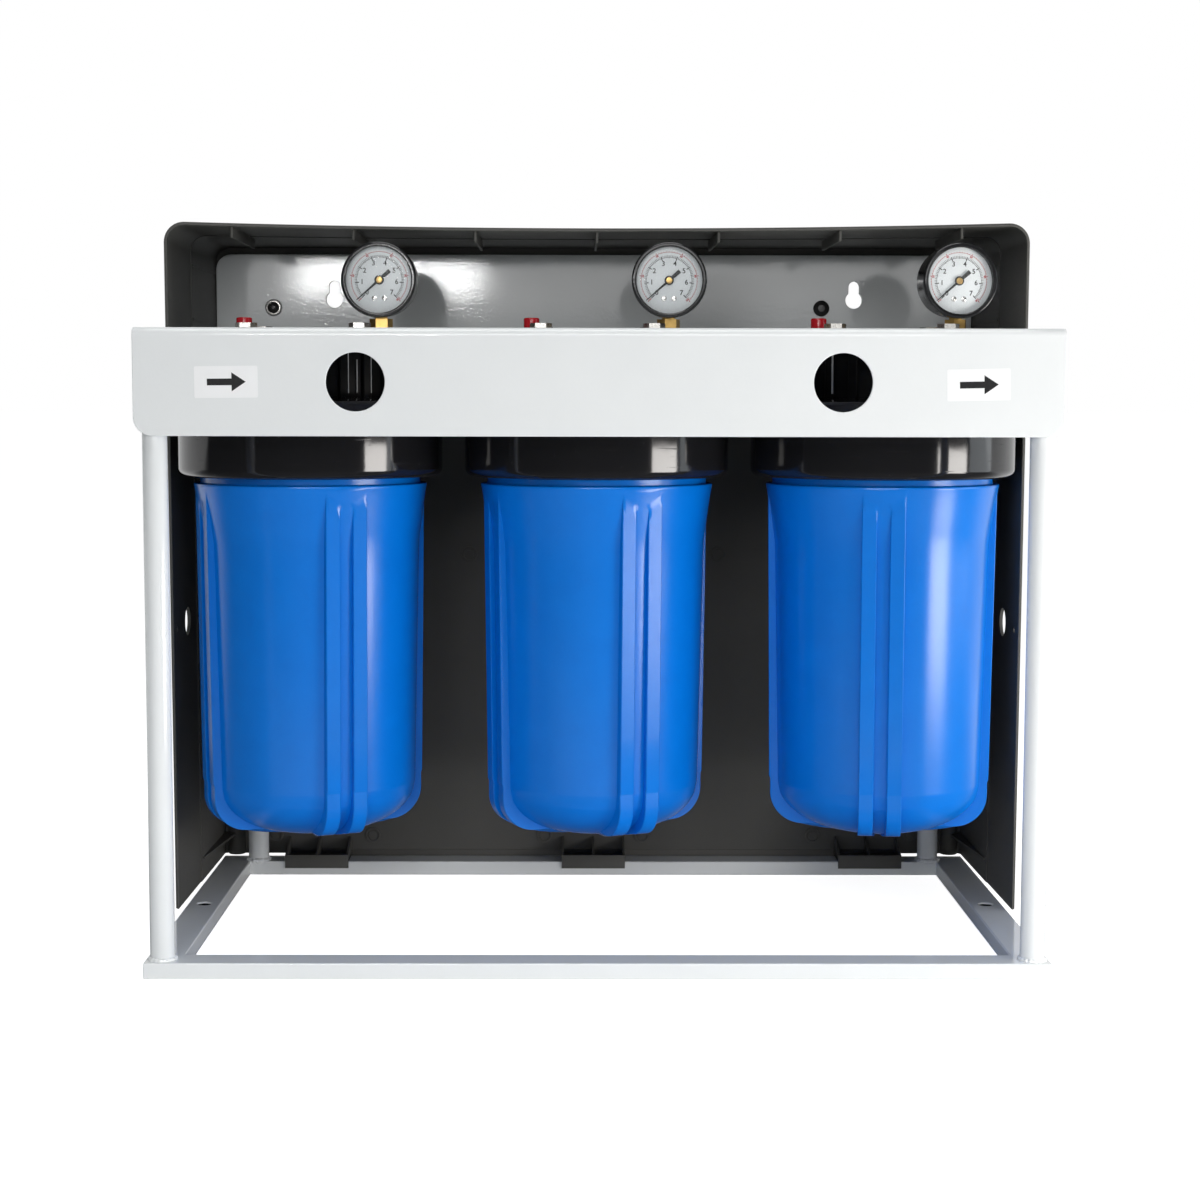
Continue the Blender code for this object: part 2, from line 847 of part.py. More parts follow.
def sump_profile():
    """Half section of the bowl's outside, solid to the axis: neck, rim, flare and dome."""
    rise = rim_z - rim_edge - flare_z
    profile = [(0.0, neck_top), (neck_radius, neck_top), (neck_radius, rim_z),
               (rim_radius - rim_edge, rim_z), (rim_radius, rim_z - rim_edge)]
    for share in flare_shares:
        radius = flare_radius + (rim_radius - flare_radius) * share ** flare_power
        profile.append((radius, flare_z + rise * share))
    profile.append((flare_radius, flare_z))
    profile += dome_points(parting_radius, parting_z, parting_z - sump_bottom, 0.0, dome_steps)
    return profile


def sump_hollow_profile():
    """Half section of the bowl's inside, round the centring plug, with the seal's rebate."""
    floor = sump_bottom + sump_wall
    above = neck_top + cut_overrun
    rebate = neck_top - seal_groove
    seat = floor + seat_height
    depth = parting_z - floor
    inside = dome_points(parting_radius - sump_wall, parting_z, depth, floor_radius, dome_steps - 1)
    return [(0.0, above), (rebate_radius, above), (rebate_radius, rebate), (neck_bore, rebate)] + inside + [
        (seat_radius, floor), (seat_radius, seat), (centring_radius, seat),
        (centring_radius, seat + centring_height), (0.0, seat + centring_height)]


def dome_points(radius, z, depth, least_radius, steps):
    """A superellipse from the wall at z down to the least radius, which ends it flat."""
    points = []
    for step in range(steps + 1):
        angle = math.radians(90.0 * step / steps)
        across = radius * max(math.cos(angle), 0.0) ** (2 / dome_power)
        down = depth * math.sin(angle) ** (2 / dome_power)
        if step == steps:
            points.append((least_radius, z - depth))
        else:
            points.append((max(across, least_radius), z - down))
    return points


def rib_outline():
    """One rib seen from its side: radius out from the axis, and height."""
    top = rim_z - rim_edge - rib_top_drop
    low = rib_low_radius - rib_step
    toe_centre = (low - rib_toe_radius, rib_bottom + rib_toe_radius)
    outline = [(rib_root, top), (rib_top_radius, top), (rib_low_radius, parting_z), (low, parting_z)]
    outline += arc(toe_centre, rib_toe_radius, 0.0, -90.0, arc_steps)
    shoulder = sump_bottom + sump_wall * 2
    outline += [(rib_toe_root, rib_bottom), (rib_toe_root, shoulder), (rib_root, parting_z)]
    return outline


def add_ribs(bm):
    for pair in range(rib_pair_count):
        turn = Matrix.Rotation(2 * math.pi * pair / rib_pair_count, 4, "Z")
        for side in (-1.0, 1.0):
            inner = side * rib_gap / 2
            outer = side * rib_reach
            rings = [[turn @ Vector((x, -radius, z)) for radius, z in rib_outline()] for x in (inner, outer)]
            add_loft(bm, rings)


def add_bowl_hollow(waste):
    add_turned(waste, sump_hollow_profile(), mid_sides)


def sump_mesh():
    bm = bmesh.new()
    add_turned(bm, sump_profile(), fine_sides, turn_deg=half_facet_deg)
    mesh = joined(mesh_from(bm, "sump"), add_ribs)
    return cut(mesh, add_bowl_hollow)


def seal_mesh():
    bm = bmesh.new()
    low = neck_top - seal_groove + seat_gap
    section = circle((seal_radius, low + seal_section), seal_section, seal_facets, 180.0 / seal_facets)
    add_turned(bm, section, mid_sides)
    return mesh_from(bm, "seal")


# Cartridge

def cartridge_mesh():
    """The filter block with a wider cap bonded to each end."""
    low = cartridge_bottom
    high = cartridge_top
    cap = cartridge_cap_height
    profile = [(cartridge_hole, low), (cartridge_cap_radius, low), (cartridge_cap_radius, low + cap),
               (cartridge_radius, low + cap), (cartridge_radius, high - cap),
               (cartridge_cap_radius, high - cap), (cartridge_cap_radius, high), (cartridge_hole, high)]
    bm = bmesh.new()
    add_turned(bm, profile, mid_sides)
    return mesh_from(bm, "cartridge")


# Relief valve

def relief_collar_mesh():
    low = head_top + seat_gap
    high = low + relief_body_height
    thread = tap_radius - thread_gap
    well = button_radius + seat_gap
    stem = button_stem_radius + seat_gap
    bottom = head_top - tap_depth + seat_gap
    profile = [(stem, bottom), (thread, bottom), (thread, low), (relief_body_radius, low),
               (relief_body_radius, high), (well, high), (well, high - relief_well_depth),
               (stem, high - relief_well_depth)]
    bm = bmesh.new()
    add_turned(bm, profile, small_sides)
    return mesh_from(bm, "relief_collar")


def button_mesh():
    top = head_top + seat_gap + relief_body_height + button_proud
    low = top - button_height
    profile = [(0.0, low - button_stem_length), (button_stem_radius, low - button_stem_length),
               (button_stem_radius, low), (button_radius, low), (button_radius, top - button_round),
               (button_radius - button_round, top), (0.0, top)]
    bm = bmesh.new()
    add_turned(bm, profile, small_sides)
    return mesh_from(bm, "button")


# Gauge: local y runs back from the stem's axis, local z up from the dial's centre

def bezel_mesh():
    inner_lip = bezel_window
    pocket = case_radius - case_wall + seat_gap
    sleeve = case_radius + seat_gap
    back = bezel_depth - bezel_front
    profile = [(inner_lip, -bezel_front + bezel_lip), (inner_lip, -bezel_front + bezel_round / 2),
               (inner_lip + bezel_round / 2, -bezel_front), (bezel_radius - bezel_round, -bezel_front),
               (bezel_radius, -bezel_front + bezel_round), (bezel_radius, back), (sleeve, back),
               (sleeve, -case_front - seat_gap), (pocket, -case_front - seat_gap),
               (pocket, -bezel_front + bezel_lip)]
    bm = bmesh.new()
    add_turned(bm, profile, mid_sides, facing_front(0.0, 0.0))
    return mesh_from(bm, "bezel")


def case_mesh():
    inner = case_radius - case_wall
    profile = [(0.0, case_back - case_wall), (inner, case_back - case_wall), (inner, -case_front),
               (case_radius, -case_front), (case_radius, case_back - case_wall),
               (case_radius - case_wall, case_back), (0.0, case_back)]

    def stem_hole(waste):
        outline = circle((0.0, 0.0), stem_neck_radius + seat_gap, small_sides)
        wall_inside = case_wall - case_radius
        add_prism(waste, outline, along_z, -case_radius - cut_overrun, wall_inside + cut_overrun / 2)

    bm = bmesh.new()
    add_turned(bm, profile, mid_sides, facing_front(0.0, 0.0))
    return cut(mesh_from(bm, "case"), stem_hole)


def lens_mesh():
    bm = bmesh.new()
    front = -bezel_front + bezel_lip + seat_gap
    radius = case_radius - case_wall
    add_turned(bm, solid_profile(radius, front, front + lens_thickness), mid_sides, facing_front(0.0, 0.0))
    return mesh_from(bm, "lens")


def dial_mesh():
    front = seat_gap - case_front
    radius = case_radius - case_wall - seat_gap
    bm = bmesh.new()
    profile = ring_profile(dial_hole, radius, front, front + dial_thickness)
    add_turned(bm, profile, mid_sides, facing_front(0.0, 0.0))
    return mesh_from(bm, "dial")


def pointer_mesh():
    """Pointer at its stop, its blade towards the zero mark."""
    hub_back = seat_gap - case_front - pointer_gap
    hub_front = hub_back - pointer_hub_height
    plate_back = hub_back - (pointer_hub_height - pointer_plate) / 2
    profile = [(0.0, hub_front), (pointer_hub_radius, hub_front), (pointer_hub_radius, hub_back),
               (pointer_shaft_radius, hub_back), (pointer_shaft_radius, hub_back + pointer_shaft_length),
               (0.0, hub_back + pointer_shaft_length)]
    turn = math.radians(pointer_rest_deg)

    def add_blade(bm):
        flat = [(pointer_length, pointer_tip_half), (pointer_hub_radius / 2, pointer_root_half),
                (-pointer_hub_radius / 2, pointer_tail_half), (-pointer_tail, pointer_tail_half),
                (-pointer_tail, -pointer_tail_half), (-pointer_hub_radius / 2, -pointer_tail_half),
                (pointer_hub_radius / 2, -pointer_root_half), (pointer_length, -pointer_tip_half)]
        outline = [(u * math.cos(turn) - v * math.sin(turn), u * math.sin(turn) + v * math.cos(turn))
                   for u, v in flat]
        add_prism(bm, outline, along_y, plate_back - pointer_plate, plate_back)

    bm = bmesh.new()
    add_turned(bm, profile, small_sides, facing_front(0.0, 0.0))
    return joined(mesh_from(bm, "pointer"), add_blade)


def stem_mesh():
    """Thread, hexagon, neck and inner block with its curved tube, z from the dial's centre."""
    shelf_seat = head_top + seat_gap - gauge_z
    hex_top = -bezel_radius - thread_gap
    block_low = case_wall + thread_gap - case_radius
    block_top = block_low + stem_block_height
    bottom = head_top - tap_depth + seat_gap - gauge_z
    middle = (shelf_seat + hex_top) / 2
    neck_end = (block_low + block_top) / 2

    def add_round(extra):
        profile = [(0.0, bottom), (stem_thread_radius, bottom), (stem_thread_radius, middle),
                   (stem_neck_radius, middle), (stem_neck_radius, neck_end), (0.0, neck_end)]
        add_turned(extra, profile, small_sides)

    def add_block(extra):
        half = stem_block_half
        add_prism(extra, rectangle(-half, half, -half, half), along_z, block_low, block_top)

    def add_tube(extra):
        section = rectangle(-bourdon_half_thickness, bourdon_half_thickness,
                            -bourdon_half_width, bourdon_half_width)
        centre = block_top + bourdon_foot + bourdon_radius
        rings = [[Vector((out, y, neck_end)) for out, y in section]]
        for step in range(bourdon_steps + 1):
            angle = math.radians(bourdon_sweep_deg * step / bourdon_steps - 90.0)
            ring = []
            for out, y in section:
                radius = bourdon_radius + out
                ring.append(Vector((radius * math.cos(angle), y, centre + radius * math.sin(angle))))
            rings.append(ring)
        add_loft(extra, rings)

    bm = bmesh.new()
    add_turned(bm, solid_profile(stem_hex_radius, shelf_seat, hex_top), hex_sides, turn_deg=stem_hex_turn_deg)
    mesh = joined(mesh_from(bm, "stem"), add_round)
    mesh = joined(mesh, add_block)
    return joined(mesh, add_tube)


def build_station(index, carrier, finish):
    number = index + 1
    x = station_x(index)
    axis = (x, axis_y, 0.0)
    place_object(f"head_{number}", head_mesh(), finish["head"], carrier, axis)
    turn = sump_turns_deg[index]
    place_object(f"sump_{number}", sump_mesh(), finish["sump"], carrier, axis, turn)
    place_object(f"sump_seal_{number}", seal_mesh(), finish["rubber"], carrier, axis, turn)
    place_object(f"cartridge_{number}", cartridge_mesh(), finish["media"], carrier, axis)
    valve = (x - relief_x, axis_y, 0.0)
    place_object(f"relief_collar_{number}", relief_collar_mesh(), finish["steel"], carrier, valve)
    place_object(f"relief_button_{number}", button_mesh(), finish["button"], carrier, valve)
    dial = (x + gauge_x, axis_y, gauge_z)
    gauge_turn = gauge_turns_deg[index]
    pieces = (
        ("gauge_stem", stem_mesh, "brass"),
        ("gauge_case", case_mesh, "case"),
        ("gauge_bezel", bezel_mesh, "case"),
        ("gauge_lens", lens_mesh, "lens"),
        ("gauge_dial", dial_mesh, "dial"),
        ("gauge_pointer", pointer_mesh, "pointer"),
    )
    for name, make_mesh, material in pieces:
        place_object(f"{name}_{number}", make_mesh(), finish[material], carrier, dial, gauge_turn)


# Rear cover

def cover_outline(y, inset):
    """The cover's arch at depth y, moved in from its outer face by inset."""
    share = (y - cover_front) / (cover_outer_back - cover_front)
    top = cover_top_front + (cover_top_back - cover_top_front) * share - inset
    half = cover_front_half + (cover_back_half - cover_front_half) * share - inset
    sag = cover_top_sag * (1.0 - share)
    corner = max(cover_corner - inset, cover_inner_corner)
    low_half = half - cover_foot_draw
    left = arc((corner - half, top - corner), corner, 180.0, 90.0, arc_steps)
    right = arc((half - corner, top - corner), corner, 90.0, 0.0, arc_steps)
    points = [(-low_half, cover_bottom)] + left
    for step in range(1, cover_arch_steps):
        along = step / cover_arch_steps
        x = (2 * along - 1) * (half - corner)
        points.append((x, top - sag * (1.0 - (2 * along - 1) ** 2)))
    points += right + [(low_half, cover_bottom)]
    return [Vector((x, y, z)) for x, z in points]


def cover_shell_mesh():
    rim = cover_wall * cover_rim_share
    tongue = cover_front + cover_rim_step
    rows = ((cover_outer_back, 0.0), (tongue, 0.0), (tongue, rim), (cover_front, rim),
            (cover_front, cover_wall), (cover_step_y, cover_wall), (cover_step_y, cover_wall + cover_step),
            (cover_back, cover_wall + cover_step))
    bm = bmesh.new()
    loops = [[bm.verts.new(point) for point in cover_outline(y, inset)] for y, inset in rows]
    for first, second in zip(loops, loops[1:]):
        for index in range(len(first) - 1):
            bm.faces.new((first[index], first[index + 1], second[index + 1], second[index]))
    bm.faces.new(loops[0])
    bm.faces.new(loops[-1])
    bm.faces.new([loop[0] for loop in loops] + [loop[-1] for loop in reversed(loops)])
    return mesh_from(bm, "cover")


def cover_inner_half(y, z):
    """Half the cover's inside width at depth y and height z."""
    share = (y - cover_front) / (cover_outer_back - cover_front)
    inset = cover_wall + (cover_step if y > cover_step_y else 0.0)
    half = cover_front_half + (cover_back_half - cover_front_half) * share - inset
    rise = (z - cover_bottom) / (cover_top_front - cover_corner - cover_bottom)
    return half - cover_foot_draw * (1.0 - min(rise, 1.0))


def cover_inner_top(x, y):
    share = (y - cover_front) / (cover_outer_back - cover_front)
    top = cover_top_front + (cover_top_back - cover_top_front) * share - cover_wall
    along = x / (cover_front_half - cover_corner)
    return top - cover_top_sag * (1.0 - share) * (1.0 - along ** 2)


def add_top_ribs(bm):
    for number in range(top_rib_count):
        x = (number - (top_rib_count - 1) / 2) * top_rib_pitch
        front = cover_inner_top(x, top_rib_front)
        back = cover_inner_top(x, top_rib_back)
        outline = [(top_rib_front, front - top_rib_depth), (top_rib_back, back - top_rib_depth),
                   (top_rib_back, back + cover_wall / 2), (top_rib_front, front + cover_wall / 2)]
        add_prism(bm, outline, along_x, x - web / 2, x + web / 2)


def add_side_ribs(bm):
    front = cover_step_y + web
    for side in (-1.0, 1.0):
        for z in side_rib_zs:
            outline = [(side * (cover_inner_half(y, z) + offset), y)
                       for y, offset in ((front, cover_wall / 2), (side_rib_back, cover_wall / 2),
                                         (side_rib_back, -side_rib_proud), (front, -side_rib_proud))]
            add_prism(bm, outline, along_z, z - web / 2, z + web / 2)
        z = low_rib_z
        outline = [(side * (cover_inner_half(low_rib_front, z) + cover_wall / 2), low_rib_front),
                   (side * (cover_inner_half(cover_back, z) + cover_wall / 2), cover_back + cover_wall / 2),
                   (side * (cover_inner_half(cover_back, z) - low_rib_depth), cover_back + cover_wall / 2),
                   (side * (cover_inner_half(low_rib_front, z) - side_rib_proud), low_rib_front)]
        add_prism(bm, outline, along_z, z - web / 2, z + web / 2)


def add_columns(bm):
    for side in (-1.0, 1.0):
        outline = circle((side * column_x, cover_back), column_radius, small_sides)
        backless = [(x, min(y, cover_back + cover_wall / 2)) for x, y in outline]
        add_prism(bm, backless, along_z, cover_bottom, column_top)


def boss_places():
    places = [(side * high_boss_x, high_boss_z) for side in (-1.0, 1.0)]
    return places + [(side * x, low_boss_z) for side in (-1.0, 1.0) for x in low_boss_xs]


def add_bosses(bm):
    root = cover_back + cover_wall / 2
    for x, z in boss_places():
        outline = circle((x, z), boss_radius, small_sides)
        add_prism(bm, outline, along_y, cover_back - boss_proud, root)
    for x in screw_xs:
        outline = circle((x, screw_z), screw_boss_radius, small_sides)
        add_prism(bm, outline, along_y, frame_depth + seat_gap, root)


def add_skirt(bm):
    """The back wall's lower edge between the outer feet, which hangs behind the rear bar."""
    low = cover_bottom - cover_skirt_drop
    outline = rectangle(-cover_skirt_half, cover_skirt_half, low, cover_bottom + web)
    add_prism(bm, outline, along_y, cover_back, cover_outer_back)


def add_ledge(bm):
    """The thicker strip along the foot of the back wall."""
    outline = rectangle(-cover_skirt_half, cover_skirt_half, cover_bottom, cover_bottom + cover_ledge)
    add_prism(bm, outline, along_y, cover_back - cover_ledge_proud, cover_back + cover_wall / 2)


def add_foot_webs(bm):
    front = frame_depth - bar_width - seat_gap - web / 2
    low = bar_height + seat_gap
    for x in foot_xs:
        outline = rectangle(x - foot_half, x + foot_half, front, cover_back + web)
        add_prism(bm, outline, along_z, low, low + web)


def add_foot_plates(bm):
    back = frame_depth - bar_width - seat_gap
    for x in foot_xs:
        outline = rectangle(x - foot_half, x + foot_half, foot_plate_bottom, foot_plate_top)
        add_prism(bm, outline, along_y, back - web, back)


def add_foot_ribs(bm):
    front = frame_depth - bar_width - seat_gap - web * foot_rib_set_in_share
    low = bar_height + seat_gap + web / 2
    outline = [(front, low), (cover_back + web, low), (cover_back + web, foot_rib_top),
               (front, foot_plate_top - seat_gap)]
    for x in foot_xs:
        for middle in (x - foot_half + web / 2, x, x + foot_half - web / 2):
            half = web / 2 - (seat_gap / 2 if middle != x else 0.0)
            add_prism(bm, outline, along_x, middle - half, middle + half)


def add_cover_openings(waste):
    back = (frame_depth, cover_outer_back + cut_overrun)
    for side in (-1.0, 1.0):
        add_prism(waste, keyhole(side * keyhole_x, keyhole_z, seat_gap), along_y, *back)
    for x in screw_xs:
        outline = circle((x, screw_z), screw_radius + seat_gap, small_sides)
        add_prism(waste, outline, along_y, frame_depth, cover_outer_back - screw_tip_wall)
    low = latch_z - latch_height / 2
    high = latch_z + latch_height / 2
    for side in (-1.0, 1.0):
        outline = [(side * (cover_inner_half(y, latch_z) + offset), y)
                   for y, offset in ((cover_front - cut_overrun, latch_depth), (latch_back, latch_depth),
                                     (latch_back, -cut_overrun), (cover_front - cut_overrun, -cut_overrun))]
        add_prism(waste, outline, along_z, low, high)


def add_cover_side_holes(waste):
    inner = cover_back_half - column_radius
    outer = cover_front_half + cut_overrun
    for side in (-1.0, 1.0):
        span = sorted((side * inner, side * outer))
        latch = circle((latch_hole_y, latch_z), latch_hole_radius, mid_sides)
        pin = circle((pin_hole_y, pin_hole_z), pin_hole_radius, small_sides)
        notch = circle((axis_y, port_z), port_notch_radius, mid_sides)
        for outline in (latch, pin, notch):
            add_prism(waste, outline, along_x, *span)


def build_cover(carrier, plastic):
    mesh = cover_shell_mesh()
    for add in (add_top_ribs, add_side_ribs, add_columns, add_bosses, add_skirt, add_ledge,
                add_foot_webs, add_foot_plates, add_foot_ribs):
        mesh = joined(mesh, add)
    mesh = cut(mesh, add_cover_openings)
    mesh = cut(mesh, add_cover_side_holes)
    place_object("rear_cover", mesh, plastic, carrier)


def build_cover_fixings(carrier, steel):
    plate_front = frame_depth - sheet
    washer_back = plate_front - seat_gap
    washer_front = washer_back - washer_height
    bm = bmesh.new()
    add_turned(bm, ring_profile(screw_hole_radius, washer_radius, washer_front, washer_back),
               small_sides, facing_front(0.0, 0.0))
    place_object("cover_washer", mesh_from(bm, "washer"), steel, carrier, (screw_xs[0], 0.0, screw_z))
    tip = cover_outer_back - screw_tip_wall - seat_gap
    heads = (("cover_screw_left", washer_front - seat_gap), ("cover_screw_right", washer_back))
    for x, radius, (name, head_back) in zip(screw_xs, screw_head_radii, heads):
        head_front = head_back - screw_head_height
        crown = head_front - screw_head_crown
        profile = [(0.0, crown), (radius / 2, crown), (radius, head_front), (radius, head_back),
                   (screw_radius, head_back), (screw_radius, tip), (0.0, tip)]
        bm = bmesh.new()
        add_turned(bm, profile, small_sides, facing_front(0.0, 0.0))
        place_object(name, mesh_from(bm, name), steel, carrier, (x, 0.0, screw_z))


def make_finishes():
    return {
        "paint": make_material("white_powder_coat", (0.80, 0.82, 0.82), 0.38),
        "cover": make_material("warm_grey_plastic", (0.055, 0.053, 0.048), 0.45),
        "head": make_material("black_gloss_plastic", (0.012, 0.012, 0.013), 0.18),
        "sump": make_material("blue_plastic", (0.006, 0.16, 0.62), 0.36),
        "rubber": make_material("black_rubber", (0.02, 0.02, 0.02), 0.7),
        "media": make_material("white_filter_media", (0.85, 0.84, 0.80), 0.9),
        "steel": make_material("plated_steel", (0.62, 0.60, 0.57), 0.3, 1.0),
        "button": make_material("red_button_plastic", (0.45, 0.01, 0.015), 0.3),
        "brass": make_material("brass", (0.72, 0.48, 0.16), 0.3, 1.0),
        "case": make_material("black_gauge_enamel", (0.01, 0.01, 0.012), 0.15),
        "lens": make_material("clear_lens", (0.95, 0.97, 0.98), 0.05, alpha=0.2),
        "dial": make_material("white_dial", (0.86, 0.88, 0.88), 0.4),
        "pointer": make_material("black_pointer", (0.01, 0.01, 0.01), 0.35),
    }


def build():
    clear_scene()
    finish = make_finishes()
    carrier = bpy.data.objects.new("filter_origin", None)
    bpy.context.scene.collection.objects.link(carrier)
    carrier.location = (0.0, -centre_shift, 0.0)
    build_base(carrier, finish["paint"])
    build_posts(carrier, finish["paint"])
    build_bracket(carrier, finish["paint"])
    build_cover(carrier, finish["cover"])
    build_cover_fixings(carrier, finish["steel"])
    build_bolts(carrier, finish["steel"])
    build_nipples(carrier, finish["steel"])
    for index in range(station_count):
        build_station(index, carrier, finish)


build()
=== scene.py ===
import json
import math

import bmesh
import bpy
from mathutils import Matrix, Vector


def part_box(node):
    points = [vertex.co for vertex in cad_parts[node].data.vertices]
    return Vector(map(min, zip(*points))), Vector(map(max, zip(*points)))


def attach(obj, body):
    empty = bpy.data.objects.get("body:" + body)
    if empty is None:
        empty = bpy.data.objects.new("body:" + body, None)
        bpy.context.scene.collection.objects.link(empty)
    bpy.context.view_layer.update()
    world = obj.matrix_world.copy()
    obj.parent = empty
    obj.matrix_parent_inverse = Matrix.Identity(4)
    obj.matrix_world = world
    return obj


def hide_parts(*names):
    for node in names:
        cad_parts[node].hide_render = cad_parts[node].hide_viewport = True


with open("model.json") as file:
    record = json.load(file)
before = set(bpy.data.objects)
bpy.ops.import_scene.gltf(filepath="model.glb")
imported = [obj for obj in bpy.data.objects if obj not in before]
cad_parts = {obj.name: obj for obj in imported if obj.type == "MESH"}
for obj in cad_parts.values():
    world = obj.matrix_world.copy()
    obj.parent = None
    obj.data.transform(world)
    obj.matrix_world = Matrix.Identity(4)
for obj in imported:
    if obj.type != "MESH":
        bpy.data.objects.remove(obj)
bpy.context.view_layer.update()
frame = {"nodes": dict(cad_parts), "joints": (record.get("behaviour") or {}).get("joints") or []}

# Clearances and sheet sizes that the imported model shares
seat_gap = 0.0003
sheet = 0.002
bend_radius = 0.003
label_room = 0.00015
overrun = 0.004

# Base frame
base_bar = 0.0235
floor_hole_radius = 0.0052

# Bracket
bracket_corner = 0.012
window_x = 0.154
window_radius = 0.0186
keyhole_x = 0.2025
keyhole_rise = 0.0323
keyhole_radius = 0.0065
keyhole_slot_radius = 0.0042
keyhole_slot_rise = 0.0102
screw_hole_radius = 0.0026
gauge_hole_radius = 0.0093
relief_hole_radius = 0.0086
edge_width = 0.00045

# Head
collar_radius = 0.092
collar_bottom = 0.320
collar_top = 0.372
collar_crown = 0.376
collar_plate = 0.006
collar_lip = 0.006
neck_room = 0.0772
chamber_radius = 0.0665
bearing_z = 0.3556
hub_radius = 0.061
hub_rib_radius = 0.068
hub_rib_count = 24
hub_rib_starts_deg = (8.3, 8.3, 1.5)
# Painted highlights drawn as thin light lines on a hub's ribs: angle, depth under the crest, rise
# over the collar as far as the hub goes, and half width in degrees
hub_highlight_lines = {1: ((-61.25, 0.0, 1.0, 0.25), (-55.1, 0.0015, 0.0240, 0.22), (-46.25, 0.0, 1.0, 0.25)),
             3: ((-128.05, 0.0, 1.0, 0.35),)}
port_z = 0.393
port_reach = 0.094
port_radius = 0.0225
port_bore = 0.0170
bolt_offset = 0.0385
relief_x = 0.0455
gauge_x = 0.0498

# Sump
sump_turns_deg = (24.0, 22.5, -6.6)
rim_radius = 0.081
rim_z = 0.3155
rim_edge = 0.0010
neck_radius = 0.0765
neck_top = 0.3535
neck_bore = 0.069
flare_z = 0.274
flare_radius = 0.0752
parting_z = 0.107
parting_radius = 0.0717
sump_bottom = 0.069
dome_power = 2.2
rib_inner = 0.0045
rib_outer = 0.0145
rib_edge = 0.0005
rib_top_radius = 0.0790
rib_low_radius = 0.0764
rib_step = 0.0008
rib_bottom = 0.0752
rib_toe_radius = 0.0225

# Gauge
bezel_radius = 0.0260
bezel_window = 0.0228
bezel_front = 0.0140
bezel_depth = 0.0075
case_radius = 0.0247
case_front = 0.0083
case_back = 0.0150
lens_front = 0.0119
tick_inner = 0.0157
tick_outer = 0.0172
red_ring = 0.0194
zero_deg = 225.0
sweep_deg = 270.0
rest_deg = 221.0

# Facets round a turn
round_sides = 96
mid_sides = 64
small_sides = 40


def low(node):
    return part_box(node)[0]


def high(node):
    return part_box(node)[1]


def middle(node):
    return (low(node) + high(node)) / 2


joints = {joint["name"]: joint for joint in frame["joints"]}
stations = (1, 2, 3)
axes = {n: Vector(joints[f"sump_{n}_unscrew"]["pos_m"]) for n in stations}
axis_y = axes[2].y
front_y = low("mounting_bracket").y
back_y = high("mounting_bracket").y
shelf_top = high("head_2").z + seat_gap + sheet
bracket_half = high("mounting_bracket").x
panel_bottom = low("mounting_bracket").z
plate_top = high("mounting_bracket").z
panel_middle = (shelf_top + panel_bottom) / 2
head_top = high("head_2").z
keyhole_z = shelf_top + keyhole_rise
screw_places = {side: middle(f"cover_screw_{side}") for side in ("left", "right")}


# Materials

class Signal:
    """A node's output. Arithmetic on it adds Math nodes to the same tree."""

    def __init__(self, tree, output):
        self.tree = tree
        self.output = output

    def __add__(self, other):
        return self.tree.math("ADD", self, other)

    def __sub__(self, other):
        return self.tree.math("SUBTRACT", self, other)

    def __rsub__(self, other):
        return self.tree.math("SUBTRACT", other, self)

    def __mul__(self, other):
        return self.tree.math("MULTIPLY", self, other)

    __radd__ = __add__
    __rmul__ = __mul__

    def ramp(self, start, end, style="SMOOTHSTEP"):
        """A step from 0 at start to 1 at end."""
        values = {0: self, 1: start, 2: end, 3: 0.0, 4: 1.0}
        return self.tree.node("ShaderNodeMapRange", {"interpolation_type": style}, values)


class Tree:
    """The shader nodes of a material or of the world."""

    def __init__(self, owner):
        owner.use_nodes = True
        self.nodes = owner.node_tree.nodes
        self.links = owner.node_tree.links

    def feed(self, socket, value):
        if isinstance(value, Signal):
            self.links.new(value.output, socket)
        else:
            socket.default_value = value

    def node(self, kind, settings, values, output=0):
        node = self.nodes.new(kind)
        for name, value in settings.items():
            setattr(node, name, value)
        for label, value in values.items():
            self.feed(node.inputs[label], value)
        return Signal(self, node.outputs[output])

    def math(self, operation, *values):
        return self.node("ShaderNodeMath", {"operation": operation}, dict(enumerate(values)))

    def split(self, vector, way):
        return self.node("ShaderNodeSeparateXYZ", {}, {0: vector}, way)

    def studio_rays(self, behind):
        """Rays that see the white studio, which mirrors show only behind the filter, and mirrored rays."""
        camera, glossy, through = (self.node("ShaderNodeLightPath", {}, {}, f"Is {kind} Ray")
                                   for kind in ("Camera", "Glossy", "Transmission"))
        return self.math("MAXIMUM", self.math("MAXIMUM", camera, through), glossy * behind), glossy


